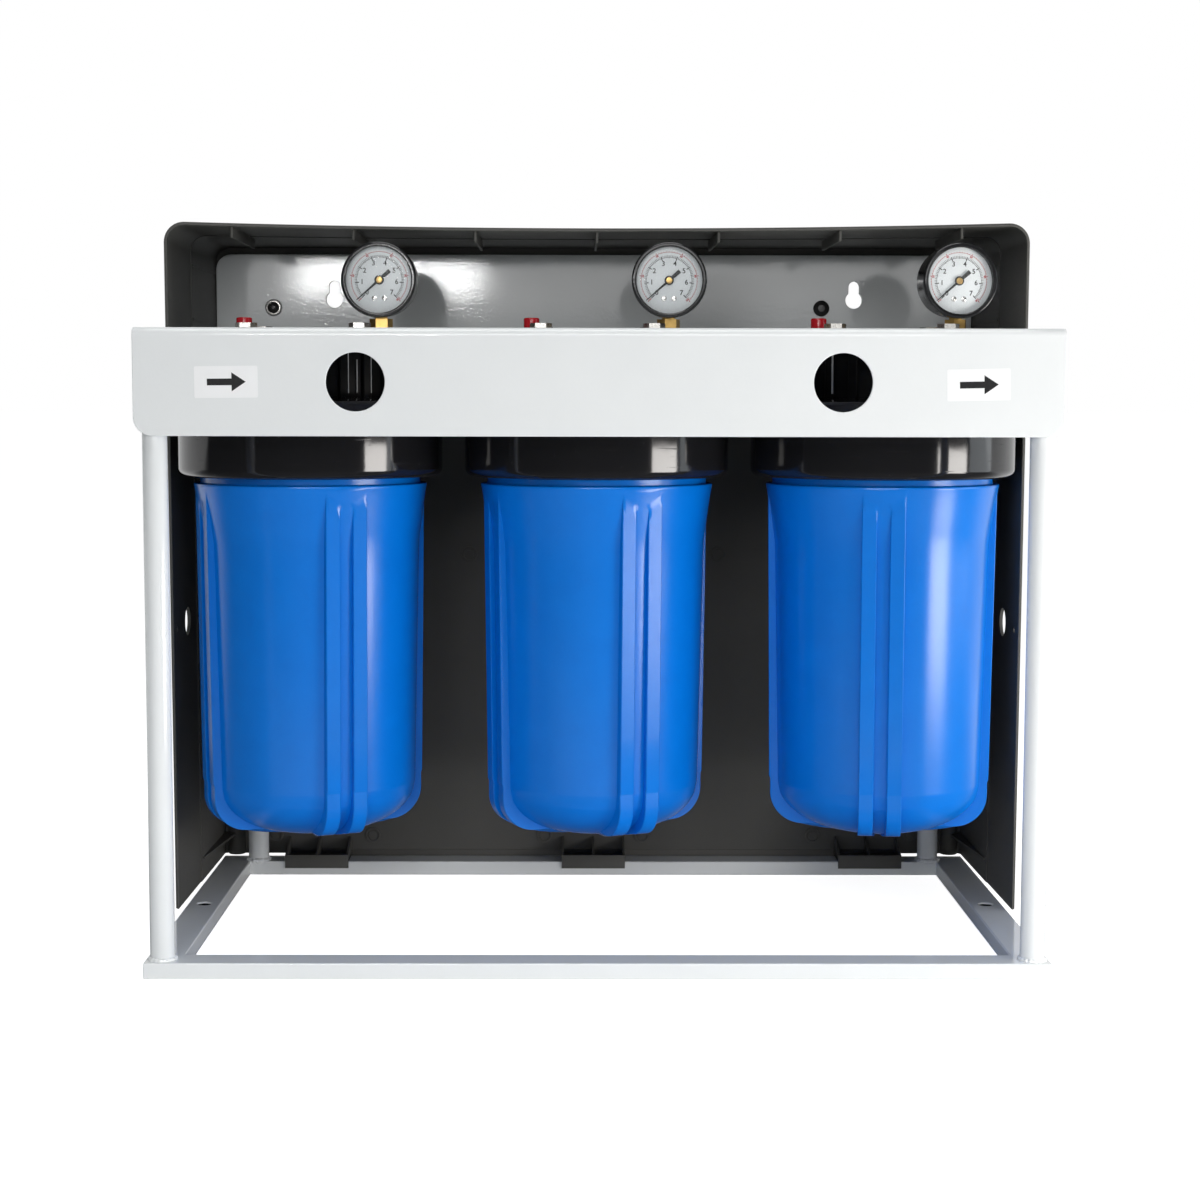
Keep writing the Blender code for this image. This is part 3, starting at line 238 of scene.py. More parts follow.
class Finish(Tree):
    """A procedural material on a Principled shader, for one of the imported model's slots."""

    def __init__(self, name, constants, slot=None):
        self.material = bpy.data.materials.new(name)
        super().__init__(self.material)
        self.slot = slot or name
        self.shader = self.nodes["Principled BSDF"]
        for label, value in constants.items():
            self.shader.inputs[label].default_value = value

    def place(self, stretch=(1.0, 1.0, 1.0)):
        point = self.node("ShaderNodeTexCoord", {}, {}, "Object")
        return self.node("ShaderNodeVectorMath", {"operation": "MULTIPLY"}, {0: point, 1: stretch})

    def noise(self, size, detail=2.0, stretch=(1.0, 1.0, 1.0)):
        """Noise with lumps of about this size in metres."""
        values = {"Vector": self.place(stretch), "Scale": 1.0 / size, "Detail": detail}
        return self.node("ShaderNodeTexNoise", {}, values)

    def cells(self, size):
        """Distance to the nearest of points scattered about this far apart."""
        return self.node("ShaderNodeTexVoronoi", {}, {"Vector": self.place(), "Scale": 1.0 / size})

    def mix(self, share, *colours):
        first, second = (value if isinstance(value, Signal) else (*value, 1.0) for value in colours)
        return self.node("ShaderNodeMix", {"data_type": "RGBA"}, {0: share, 6: first, 7: second}, 2)

    def give(self, label, value):
        self.feed(self.shader.inputs[label], value)

    def dress(self, colour, roughness, height, distance, strength):
        """Give the surface its colour, roughness and relief."""
        relief = {"Height": height, "Distance": distance, "Strength": strength}
        self.give("Base Color", colour)
        self.give("Roughness", roughness)
        self.give("Normal", self.node("ShaderNodeBump", {}, relief))
        return self


def powder_coat(name, hole=None):
    """White paint; the wall of a floor hole (x, y, radius, top) gets painted shade, near black."""
    finish = Finish(name, {"Specular IOR Level": 0.5}, "white_powder_coat")
    mottle = finish.noise(0.045, 3.0)
    peel = finish.noise(0.0021, 1.0)
    grit = finish.noise(0.0006, 1.0)
    tone = finish.mix(mottle, (0.765, 0.790, 0.795), (0.805, 0.828, 0.833))
    if hole:
        hole_x, hole_y, radius, top = hole
        across, back, up = (finish.split(finish.place(), way) for way in range(3))
        across = finish.math("ABSOLUTE", across) - hole_x
        back = back - hole_y
        hole_shade = finish.math("LESS_THAN", across * across + back * back, (radius + seat_gap) ** 2)
        # Painted shade: the hole's wall below its top edge is coloured near black
        tone = finish.mix(hole_shade * finish.math("LESS_THAN", up, top), tone, (0.012, 0.012, 0.012))
    return finish.dress(tone, 0.05 + 0.04 * grit, peel * 0.9 + grit * 0.1, 0.00024, 0.13)


def cover_plastic():
    finish = Finish("warm_grey_plastic", {"Specular IOR Level": 0.35})
    patch = finish.noise(0.06, 3.0)
    grain = finish.noise(0.0009, 2.0)
    dust = finish.cells(0.006).ramp(0.05, 0.0)
    tone = finish.mix(patch, (0.080, 0.079, 0.073), (0.104, 0.102, 0.094))
    return finish.dress(finish.mix(dust * 0.3, tone, (0.16, 0.16, 0.15)),
                        0.46 + 0.14 * grain, grain, 0.00012, 0.6)


def gloss_black():
    finish = Finish("black_gloss_plastic", {"Specular IOR Level": 0.5})
    waves = finish.noise(0.012, 1.0)
    scratch = finish.noise(0.0011, 1.0, (0.06, 0.06, 1.0)).ramp(0.68, 0.76)
    speck = finish.cells(0.009).ramp(0.045, 0.0)
    return finish.dress(finish.mix(speck, (0.010, 0.010, 0.011), (0.20, 0.20, 0.19)),
                        0.07 + 0.05 * finish.noise(0.02) + 0.15 * scratch + 0.3 * speck,
                        waves * 0.5 + scratch * 0.06, 0.0003, 0.25)


def blue_plastic():
    finish = Finish("blue_plastic", {"Specular IOR Level": 0.44})
    cloud = finish.noise(0.02, 3.0)
    speckle = finish.noise(0.0013, 2.0)
    tone = finish.mix(cloud, (0.0, 0.152, 0.62), (0.0, 0.180, 0.70))
    tone = finish.mix(0.35 * speckle, tone, (0.001, 0.20, 0.72))
    return finish.dress(tone, 0.19 + 0.08 * speckle, speckle, 0.00008, 0.5)


def metal(name, first, second, roughness, lump, slot=None):
    finish = Finish(name, {"Metallic": 1.0}, slot)
    cloud = finish.noise(lump, 3.0)
    brush = finish.noise(0.0005)
    return finish.dress(finish.mix(cloud, first, second),
                        roughness + 0.14 * brush + 0.1 * cloud, brush, 0.00006, 0.5)


def plain_plastic(name, first, second, roughness, lump=0.002, relief=0.00004, gloss=0.5, slot=None):
    finish = Finish(name, {"Specular IOR Level": gloss}, slot)
    cloud = finish.noise(lump, 3.0)
    fine = finish.noise(0.0004, 1.0)
    return finish.dress(finish.mix(cloud, first, second), roughness + 0.1 * fine, fine, relief, 0.4)


def clear_lens():
    finish = Finish("clear_lens", {"Base Color": (0.92, 0.95, 0.95, 1.0), "Specular IOR Level": 0.5})
    smudge = finish.noise(0.008, 3.0)
    finish.give("Roughness", 0.02 + 0.06 * smudge)
    finish.give("Alpha", 0.02 + 0.03 * smudge)
    return finish


def filter_media():
    finish = Finish("white_filter_media", {"Sheen Weight": 0.3})
    strand = finish.noise(0.0012, 3.0, (1.0, 1.0, 3.0))
    return finish.dress(finish.mix(strand, (0.62, 0.61, 0.57), (0.84, 0.83, 0.79)),
                        0.8 + 0.15 * strand, strand, 0.0006, 0.8)


paint = powder_coat("white_powder_coat")
# The base's paint, with painted shade on the walls of its floor holes
base_paint_with_hole_shade = powder_coat("white_base_coat_hole_shade", (high("base_frame").x - base_bar / 2, 0.0,
                                             floor_hole_radius, high("base_frame").z - 0.0012))
matte = plain_plastic("black_matte_plastic", (0.003, 0.003, 0.003), (0.005, 0.005, 0.005), 0.42,
                      gloss=0.1, slot="black_gloss_plastic")
# Light grey strips that paint highlights on the hubs' rib edges
hub_highlight_paint = plain_plastic("painted_rib_highlight", (0.34, 0.34, 0.34), (0.44, 0.44, 0.44), 0.30,
                      slot="black_gloss_plastic")
cover_grey = cover_plastic()
black = gloss_black()
blue = blue_plastic()
steel = metal("plated_steel", (0.36, 0.35, 0.325), (0.52, 0.505, 0.48), 0.16, 0.004)
chrome = metal("bright_steel", (0.66, 0.65, 0.63), (0.80, 0.79, 0.77), 0.12, 0.003, "plated_steel")
brass = metal("brass", (0.62, 0.37, 0.10), (0.78, 0.53, 0.20), 0.2, 0.003)
red = plain_plastic("red_button_plastic", (0.36, 0.006, 0.012), (0.46, 0.01, 0.018), 0.12)
enamel = plain_plastic("black_gauge_enamel", (0.008, 0.008, 0.009), (0.016, 0.016, 0.017), 0.07, 0.01)
dial_white = plain_plastic("white_dial", (0.86, 0.90, 0.92), (0.89, 0.93, 0.945), 0.35, 0.01)
ink = plain_plastic("black_ink", (0.012, 0.012, 0.013), (0.03, 0.03, 0.03), 0.4, gloss=0.15,
                    slot="black_pointer")
red_ink = plain_plastic("red_ink", (0.42, 0.02, 0.03), (0.55, 0.05, 0.05), 0.4, gloss=0.15,
                        slot="red_button_plastic")
dark_screw = plain_plastic("black_zinc", (0.015, 0.015, 0.015), (0.035, 0.034, 0.032), 0.25,
                           slot="plated_steel")
paper = plain_plastic("label_film", (0.83, 0.84, 0.85), (0.87, 0.88, 0.885), 0.3, 0.01, 0.00002,
                      slot="white_powder_coat")
rubber = plain_plastic("black_rubber", (0.012, 0.012, 0.012), (0.03, 0.03, 0.03), 0.6)
media = filter_media()
lens = clear_lens()


# Outlines

def polar(radius, turn_deg, centre=(0.0, 0.0)):
    angle = math.radians(turn_deg)
    return centre[0] + radius * math.cos(angle), centre[1] + radius * math.sin(angle)


def arc(centre, radius, start_deg, end_deg, steps):
    return [polar(radius, start_deg + (end_deg - start_deg) * step / steps, centre)
            for step in range(steps + 1)]


def circle(centre, radius, sides):
    return arc(centre, radius, 0.0, 360.0, sides)[:-1]


def rectangle(low_u, high_u, low_v, high_v):
    return [(low_u, low_v), (high_u, low_v), (high_u, high_v), (low_u, high_v)]


def rounded(points, steps=5):
    """Round the corners of a closed outline of (u, v) or (u, v, radius) points."""
    outline = []
    for index, (u, v, *bend) in enumerate(points):
        here = Vector((u, v))
        radius = bend[0] if bend else 0.0
        if radius <= 0.0:
            outline.append((u, v))
            continue
        to_last = (Vector(points[index - 1][:2]) - here).normalized()
        to_next = (Vector(points[(index + 1) % len(points)][:2]) - here).normalized()
        half = to_last.angle(to_next) / 2
        centre = here + (to_last + to_next).normalized() * radius / math.sin(half)
        first = here + to_last * radius / math.tan(half) - centre
        second = here + to_next * radius / math.tan(half) - centre
        sweep = math.copysign(first.angle(second), first.x * second.y - first.y * second.x)
        for step in range(steps + 1):
            turn = sweep * step / steps
            u_turned = first.x * math.cos(turn) - first.y * math.sin(turn)
            v_turned = first.x * math.sin(turn) + first.y * math.cos(turn)
            outline.append((centre.x + u_turned, centre.y + v_turned))
    return outline


def keyhole(x, z, grow=0.0):
    big = keyhole_radius + grow
    slot = keyhole_slot_radius + grow
    reach = math.degrees(math.acos(slot / big))
    outline = arc((x, z), big, 180.0 - reach, 360.0 + reach, small_sides)
    return outline + arc((x, z + keyhole_slot_rise), slot, 0.0, 180.0, small_sides // 2)


# Solids, each added to a bmesh

def along_x(u, v, w):
    return Vector((w, u, v))


def along_y(u, v, w):
    return Vector((u, w, v))


def along_z(u, v, w):
    return Vector((u, v, w))


def bridge(bm, first, second):
    for index in range(len(first)):
        after = (index + 1) % len(first)
        bm.faces.new((first[index], first[after], second[after], second[index]))


def add_loft(bm, rings, close_ends=True):
    loops = [[bm.verts.new(point) for point in ring] for ring in rings]
    for first, second in zip(loops, loops[1:]):
        bridge(bm, first, second)
    if close_ends:
        bm.faces.new(loops[0])
        bm.faces.new(loops[-1])
    return loops


def add_hoop(bm, rings):
    """A loft whose last ring meets its first."""
    loops = add_loft(bm, rings, False)
    bridge(bm, loops[-1], loops[0])


def add_prism(bm, outline, direction, low_w, high_w):
    return add_loft(bm, [[direction(u, v, w) for u, v in outline] for w in (low_w, high_w)])


def add_soft_prism(bm, outline, direction, low_w, high_w, edge=0.0003):
    """A prism whose two end edges are rounded; the outline is round or convex."""
    middle_u = sum(u for u, v in outline) / len(outline)
    middle_v = sum(v for u, v in outline) / len(outline)
    reach = max(math.hypot(u - middle_u, v - middle_v) for u, v in outline)
    rings = []
    for w, inward in ((low_w, edge), (low_w + edge * 0.3, edge * 0.3), (low_w + edge, 0.0),
                      (high_w - edge, 0.0), (high_w - edge * 0.3, edge * 0.3), (high_w, edge)):
        share = 1.0 - inward / reach
        rings.append([direction(middle_u + (u - middle_u) * share, middle_v + (v - middle_v) * share, w)
                      for u, v in outline])
    add_loft(bm, rings)


def add_turned(bm, profile, sides, place=Matrix()):
    """Turn a closed profile of (radius, height) points about the local Z axis."""
    rings = []
    for radius, height in profile:
        ring = circle((0.0, 0.0), radius, sides) if radius > 0.0 else [(0.0, 0.0)]
        ring = [bm.verts.new(place @ Vector((x, y, height))) for x, y in ring]
        rings.append(ring if radius > 0.0 else ring * sides)
    for first, second in zip(rings, rings[1:] + rings[:1]):
        for index in range(sides):
            after = (index + 1) % sides
            face = tuple(dict.fromkeys((first[index], first[after], second[after], second[index])))
            if len(face) > 2:
                bm.faces.new(face)


def facing_front(x, y, z):
    """A frame whose local Z runs back along +Y."""
    return Matrix.Translation((x, y, z)) @ Matrix.Rotation(math.radians(-90.0), 4, "X")


# Pieces

def built(*parts):
    """The mesh of some parts, each given as a function that adds it to a bmesh and that function's values."""
    bm = bmesh.new()
    for add, *values in parts:
        add(bm, *values)
    bmesh.ops.recalc_face_normals(bm, faces=bm.faces)
    mesh = bpy.data.meshes.new("solid")
    bm.to_mesh(mesh)
    bm.free()
    return mesh


def turned(profile, sides, place=Matrix(), steps=5):
    """The mesh that a profile with rounded corners makes round the local Z axis."""
    return built((add_turned, rounded(profile, steps), sides, place))


def show(name, data):
    item = bpy.data.objects.new(name, data)
    bpy.context.scene.collection.objects.link(item)
    return item


def evaluated(item):
    """The mesh of an item with its modifiers applied."""
    depsgraph = bpy.context.evaluated_depsgraph_get()
    return bpy.data.meshes.new_from_object(item.evaluated_get(depsgraph))


def carved(mesh, *parts):
    """The mesh less the solids that the parts build."""
    holders = [show("holder", item) for item in (mesh, built(*parts))]
    modifier = holders[0].modifiers.new("carve", "BOOLEAN")
    modifier.operation = "DIFFERENCE"
    modifier.solver = "EXACT"
    modifier.object = holders[1]
    result = evaluated(holders[0])
    for holder in holders:
        bpy.data.objects.remove(holder, do_unlink=True)
    return result


def piece(name, mesh, finish, node=None, body="stand", place=Matrix(), sharp_deg=32.0):
    """Show a mesh on a body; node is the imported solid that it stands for."""
    mesh.materials.clear()
    mesh.materials.append(finish.material)
    mesh.shade_smooth()
    mesh.set_sharp_from_angle(angle=math.radians(sharp_deg))
    item = show(name, mesh)
    item.matrix_world = place
    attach(item, body)
    if node:
        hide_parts(node)
    return item


def soften(item, width, segments=2, angle_deg=35.0):
    modifier = item.modifiers.new("edges", "BEVEL")
    modifier.width = width
    modifier.segments = segments
    modifier.limit_method = "ANGLE"
    modifier.angle_limit = math.radians(angle_deg)
    flatten(item)


def flatten(item):
    """Keep big flat faces flat in shading beside bends and rounded edges."""
    modifier = item.modifiers.new("flat_faces", "WEIGHTED_NORMAL")
    modifier.mode = "FACE_AREA"
    modifier.weight = 100
    modifier.keep_sharp = True


def repaint(node, finish):
    mesh = frame["nodes"][node]
    for slot in mesh.material_slots:
        slot.material = finish.material


# Base frame, posts and bracket

def make_base():
    box_low, box_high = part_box("base_frame")
    outer, inner = (rectangle(box_low.x + bar, box_high.x - bar, box_low.y + bar, box_high.y - bar)
                    for bar in (0.0, base_bar))
    sections = ((outer, box_low.z), (outer, box_high.z), (inner, box_high.z), (inner, box_low.z))
    bars = [[along_z(u, v, w) for u, v in outline] for outline, w in sections]
    places = [(side * (box_high.x - base_bar / 2), (box_low.y + box_high.y) / 2) for side in (-1.0, 1.0)]
    holes = [(add_prism, circle(place, floor_hole_radius, small_sides), along_z, -overrun,
              box_high.z + overrun) for place in places]
    mesh = carved(built((add_hoop, bars)), *holes)
    soften(piece("base_bars", mesh, base_paint_with_hole_shade, "base_frame"), 0.0009, 3)


def add_weld(bm, centre, radius):
    """A scalloped weld bead round a tube's foot."""
    steps, sides, scallops, size = 96, 10, 9.0, 0.0022
    rings = []
    for step in range(steps):
        angle = math.tau * step / steps
        swell = size * (0.8 + 0.2 * abs(math.sin(angle * scallops)))
        out = Vector((math.cos(angle), math.sin(angle), 0.0))
        foot = centre + out * (radius - seat_gap)
        rings.append([foot + out * swell * math.cos(turn) + Vector((0.0, 0.0, swell * math.sin(turn)))
                      for turn in (math.tau * k / sides for k in range(sides))])
    add_hoop(bm, rings)


def make_posts():
    for name in ("front_left", "front_right", "rear_left", "rear_right"):
        node = f"post_{name}"
        box_low, box_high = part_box(node)
        centre = (box_low + box_high) / 2
        radius = (box_high.x - box_low.x) / 2
        bore = radius * 0.8
        profile = [(bore, box_low.z), (radius, box_low.z), (radius, box_high.z, 0.0008),
                   (bore, box_high.z)]
        tube = turned(profile, mid_sides, Matrix.Translation((centre.x, centre.y, 0.0)))
        piece(node + "_tube", tube, paint, node)
        foot = Vector((centre.x, centre.y, box_low.z))
        piece(node + "_weld", built((add_weld, foot, radius)), paint)


def make_bracket():
    outer = bend_radius + sheet
    face = front_y + label_room
    steps = 10
    front_centre = (face + outer, shelf_top - outer)
    rear_centre = (back_y - outer, shelf_top + bend_radius)
    section = [(face, panel_bottom)]
    section += arc(front_centre, outer, 180.0, 90.0, steps)
    section += arc(rear_centre, bend_radius, -90.0, 0.0, steps)
    section += [(back_y - sheet, plate_top), (back_y, plate_top)]
    section += arc(rear_centre, outer, 0.0, -90.0, steps)
    section += arc(front_centre, bend_radius, 90.0, 180.0, steps)
    section.append((face + sheet, panel_bottom))

    def waste(bm):
        rear = (back_y - sheet - overrun, back_y + overrun)
        front = (front_y - overrun, face + sheet + overrun)
        for side in (-1.0, 1.0):
            add_prism(bm, corner(side, panel_bottom, -1.0), along_y, *front)
            add_prism(bm, corner(side, plate_top, 1.0), along_y, *rear)
            window = circle((side * window_x, panel_middle), window_radius, mid_sides)
            add_prism(bm, window, along_y, *front)
            add_prism(bm, keyhole(side * keyhole_x, keyhole_z), along_y, *rear)
        for spot in screw_places.values():
            add_prism(bm, circle((spot.x, spot.z), screw_hole_radius, small_sides), along_y, *rear)
        shelf = (shelf_top - sheet - overrun, shelf_top + overrun)
        for n in stations:
            x = axes[n].x
            for place, radius in (((x + gauge_x, axis_y), gauge_hole_radius),
                                  ((x - relief_x, axis_y), relief_hole_radius)):
                add_prism(bm, circle(place, radius, small_sides), along_z, *shelf)

    mesh = carved(built((add_prism, section, along_x, -bracket_half, bracket_half)), (waste,))
    soften(piece("bracket_sheet", mesh, paint, "mounting_bracket"), edge_width)


def corner(x_side, z_edge, z_side):
    """What a rounded corner of the bracket's sheet loses."""
    reach = bracket_corner + overrun
    outline = arc((0.0, 0.0), bracket_corner, 0.0, 90.0, 12) + [(0.0, reach), (reach, reach), (reach, 0.0)]
    return [(x_side * (bracket_half - bracket_corner + u), z_edge + z_side * (v - bracket_corner))
            for u, v in outline]


def make_labels():
    """Two film labels with plain flow arrows, set into the panel's front."""
    half_long, half_high, corner_radius = 0.0200, 0.0100, 0.001
    film = [(u, v, corner_radius) for u, v in rectangle(-half_long, half_long, -half_high, half_high)]
    arrow = [(-0.0120, -0.0021), (0.0035, -0.0021), (0.0035, -0.0060), (0.0125, 0.0),
             (0.0035, 0.0060), (0.0035, 0.0021), (-0.0120, 0.0021)]
    for side, x, z, tilt in (("left", -0.2354, 0.3841, 0.6), ("right", 0.2395, 0.3830, 1.2)):
        turn = Matrix.Translation((x, front_y, z)) @ Matrix.Rotation(math.radians(-tilt), 4, "Y")
        for name, outline, front, back, finish in (
                ("label", rounded(film), label_room * 0.45, label_room + edge_width, paper),
                ("arrow", arrow, label_room * 0.2, label_room, ink)):
            mesh = built((add_prism, outline, along_y, front, back))
            piece(f"flow_{name}_{side}", mesh, finish, place=turn)


# Rear cover

cover_low, cover_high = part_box("rear_cover")
cover_front = cover_low.y
cover_outer_back = cover_high.y
cover_wall = 0.0023
cover_back = cover_outer_back - cover_wall
cover_top_front = cover_high.z
cover_top_back = cover_high.z - 0.0015
cover_top_sag = 0.0040
cover_bottom = 0.012
cover_front_half = cover_high.x
cover_back_half = cover_high.x - 0.0022
cover_foot_draw = 0.0016
cover_corner = 0.0140
cover_rim_step = 0.0014
cover_step_y = cover_front + 0.089
cover_step = 0.0006
web = 0.0017


def cover_share(y):
    return (y - cover_front) / (cover_outer_back - cover_front)


def cover_outline(y, inset):
    """The cover's arch at depth y, moved in from its outer face by inset."""
    share = cover_share(y)
    top = cover_top_front + (cover_top_back - cover_top_front) * share - inset
    half = cover_front_half + (cover_back_half - cover_front_half) * share - inset
    sag = cover_top_sag * (1.0 - share)
    turn = max(cover_corner - inset, cover_corner / 3)
    low_half = half - cover_foot_draw
    spans = 24
    points = [(-low_half, cover_bottom)] + arc((turn - half, top - turn), turn, 180.0, 90.0, 10)
    for step in range(1, spans):
        along = 2.0 * step / spans - 1.0
        points.append((along * (half - turn), top - sag * (1.0 - along ** 2)))
    points += arc((half - turn, top - turn), turn, 90.0, 0.0, 10) + [(low_half, cover_bottom)]
    return [Vector((x, y, z)) for x, z in points]


def cover_inner_half(y, z):
    share = cover_share(y)
    inset = cover_wall + (cover_step if y > cover_step_y else 0.0)
    half = cover_front_half + (cover_back_half - cover_front_half) * share - inset
    rise = (z - cover_bottom) / (cover_top_front - cover_corner - cover_bottom)
    return half - cover_foot_draw * (1.0 - min(rise, 1.0))


def cover_inner_top(x, y):
    share = cover_share(y)
    top = cover_top_front + (cover_top_back - cover_top_front) * share - cover_wall
    return top - cover_top_sag * (1.0 - share) * (1.0 - (x / (cover_front_half - cover_corner)) ** 2)


def make_cover():
    rim = cover_wall / 2
    lip = 0.0003
    tongue = cover_front + cover_rim_step
    inner = cover_wall + cover_step
    rows = ((cover_outer_back, 0.0012), (cover_outer_back - 0.0004, 0.0004),
            (cover_outer_back - 0.0012, 0.0),
            (tongue + lip, 0.0), (tongue, lip), (tongue, rim), (cover_front + lip, rim),
            (cover_front, rim + lip), (cover_front, cover_wall - lip), (cover_front + lip, cover_wall),
            (cover_step_y, cover_wall), (cover_step_y, inner),
            (cover_back - 0.002, inner), (cover_back - 0.0006, inner + 0.0006), (cover_back, inner + 0.002))

    def shell(bm):
        loops = [[bm.verts.new(point) for point in cover_outline(y, inset)] for y, inset in rows]
        for first, second in zip(loops, loops[1:]):
            for index in range(len(first) - 1):
                bm.faces.new((first[index], first[index + 1], second[index + 1], second[index]))
        bm.faces.new(loops[0])
        bm.faces.new(loops[-1])
        bm.faces.new([loop[0] for loop in loops] + [loop[-1] for loop in reversed(loops)])

    latch_y, latch_z, latch_radius = cover_front + 0.054, 0.2125, 0.0102
    pin_y, pin_z, pin_radius = cover_front + 0.014, 0.2105, 0.0020
    notch_radius = 0.0260
    track = (cover_front - overrun, cover_front + 0.086)
    track_depth, track_half = 0.0008, 0.024

    def waste(bm):
        back = (back_y + seat_gap / 2, cover_outer_back + overrun)
        for side in (-1.0, 1.0):
            add_prism(bm, keyhole(side * keyhole_x, keyhole_z, seat_gap), along_y, *back)
            wall = sorted((side * (cover_back_half - 0.008), side * (cover_front_half + overrun)))
            for y, z, radius in ((latch_y, latch_z, latch_radius), (pin_y, pin_z, pin_radius),
                                 (axis_y, port_z, notch_radius)):
                add_prism(bm, circle((y, z), radius, mid_sides), along_x, *wall)
            outline = [(side * (cover_inner_half(y, latch_z) + offset), y)
                       for y, offset in ((track[0], track_depth), (track[1], track_depth),
                                         (track[1], -overrun), (track[0], -overrun))]
            add_prism(bm, outline, along_z, latch_z - track_half, latch_z + track_half)

    flatten(piece("cover_shell", carved(built((shell,)), (waste,)), cover_grey, "rear_cover"))
    piece("cover_ribs", built((add_cover_ribs,), (add_cover_bosses,), (add_cover_foot,)), cover_grey)


def add_cover_ribs(bm):
    front = cover_front + 0.006
    back = cover_front + 0.114
    depth = 0.0075
    foot = cover_wall / 2
    for number in range(7):
        x = (number - 3) * 0.0846
        front_top, back_top = (cover_inner_top(x, y) for y in (front, back))
        outline = rounded([(front, front_top - depth, 0.0006), (back, back_top - depth, 0.0012),
                           (back, back_top + foot), (front, front_top + foot)])
        add_soft_prism(bm, outline, along_x, x - web / 2, x + web / 2)
    start = cover_step_y + web
    end = cover_back - 0.006
    for side in (-1.0, 1.0):
        for z in (0.471, 0.432, 0.304, 0.211, 0.118):
            outline = [(side * (cover_inner_half(y, z) + offset), y)
                       for y, offset in ((start, 0.001), (end, 0.001), (end, -0.0008), (start, -0.0008))]
            add_prism(bm, outline, along_z, z - web / 2, z + web / 2)
        z = 0.0285
        start_low, back = cover_step_y + 0.007, cover_back + 0.001
        front_half, back_half = (cover_inner_half(y, z) for y in (start_low, cover_back))
        outline = [(side * (front_half + 0.001), start_low), (side * (back_half + 0.001), back),
                   (side * (back_half - 0.010), back), (side * (front_half - 0.0008), start_low)]
        add_prism(bm, outline, along_z, z - web / 2, z + web / 2)
        column = [(x, min(y, back)) for x, y in circle((side * 0.2842, cover_back), 0.0068, small_sides)]
        add_soft_prism(bm, column, along_z, cover_bottom, 0.118, 0.0005)


def add_cover_bosses(bm):
    places = [(side * 0.098, 0.2515) for side in (-1.0, 1.0)]
    places += [(side * x, 0.0268) for side in (-1.0, 1.0) for x in (0.0388, 0.1755, 0.2536)]
    for x, z in places:
        profile = rounded([(0.0, 0.0002), (0.0033, 0.0002), (0.0034, 0.0016), (0.0044, 0.0016),
                           (0.0045, 0.0, 0.0003), (0.0061, 0.0, 0.0003), (0.0063, 0.003), (0.0, 0.003)])
        add_turned(bm, profile, mid_sides, facing_front(x, cover_back - 0.0012, z))
    for spot in screw_places.values():
        profile = [(0.0, 0.0), (0.0078, 0.0), (0.0080, 0.0003), (0.0080, 0.003), (0.0, 0.003)]
        add_turned(bm, profile, mid_sides, facing_front(spot.x, back_y + seat_gap, spot.z))


def add_cover_foot(bm):
    skirt_half = 0.2425
    skirt = rectangle(-skirt_half, skirt_half, cover_bottom - 0.005, cover_bottom + web)
    add_soft_prism(bm, skirt, along_y, cover_back, cover_outer_back - 0.0004)
    ledge = rectangle(-skirt_half, skirt_half, cover_bottom, cover_bottom + 0.003)
    add_soft_prism(bm, ledge, along_y, cover_back - 0.0009, cover_back + 0.001)
    half = 0.0249
    bar_front = high("base_frame").y - base_bar - seat_gap
    floor = high("base_frame").z + seat_gap
    top = 0.0160
    for x in (-0.2178, 0.0, 0.2178):
        plate = rectangle(x - half, x + half, 0.0055, top)
        add_soft_prism(bm, plate, along_y, bar_front - web, bar_front)
        tread = rectangle(x - half, x + half, bar_front - web / 2, cover_back + web)
        add_prism(bm, tread, along_z, floor, floor + web)
        side = [(bar_front - web / 2, floor), (cover_back + web, floor), (cover_back + web, 0.0265),
                (bar_front - web / 2, top)]
        for place in (x - half + web / 2, x, x + half - web / 2):
            add_soft_prism(bm, side, along_x, place - web / 2, place + web / 2)


def add_recess(bm, spot, front):
    """A cross recess in a screw's head, turned by 45 degrees."""
    half_root = 0.70711
    rings = []
    for y, half, long in ((front - 0.001, 0.00085, 0.0034), (front + 0.0018, 0.0004, 0.0012)):
        cross = [(u * a - v * b, u * b + v * a) for a, b in ((1, 0), (0, 1), (-1, 0), (0, -1))
                 for u, v in ((long, -half), (long, half), (half, half))]
        rings.append([Vector((spot.x + (u - v) * half_root, y, spot.z + (u + v) * half_root))
                      for u, v in cross])
    add_loft(bm, rings)


def make_fixings():
    washer_low, washer_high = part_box("cover_washer")
    spot = (washer_low + washer_high) / 2
    radius = (washer_high.x - washer_low.x) / 2
    thick = washer_high.y - washer_low.y
    place = facing_front(spot.x, washer_low.y, spot.z)
    profile = [(screw_hole_radius, 0.0), (radius, 0.0, 0.0004), (radius, thick, 0.0002),
               (screw_hole_radius, thick)]
    piece("washer", turned(profile, mid_sides, place), steel, "cover_washer")
    lip, wide = 0.00012, radius - 0.0013
    profile = [(wide, -lip), (radius, -lip), (radius + lip, 0.0001), (radius + lip, thick),
               (radius - 0.0002, thick), (radius - 0.0002, 0.0002), (wide, 0.0002)]
    piece("washer_rim", turned(profile, mid_sides, place), dark_screw)
    for side, spot in screw_places.items():
        node = f"cover_screw_{side}"
        box_low, box_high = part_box(node)
        radius = (box_high.x - box_low.x) / 2
        length = box_high.y - box_low.y
        head_depth, shank = 0.004, 0.0020
        profile = [(0.0, 0.0), (radius * 0.45, 0.0002, 0.001), (radius, 0.0018, 0.001),
                   (radius, head_depth, 0.0003), (shank, head_depth), (shank, length), (0.0, length)]
        mesh = turned(profile, small_sides, facing_front(spot.x, box_low.y, spot.z))
        if side == "left":
            mesh = carved(mesh, (add_recess, spot, box_low.y))
        piece(f"screw_{side}", mesh, dark_screw, node)


# Heads, bolts and valves

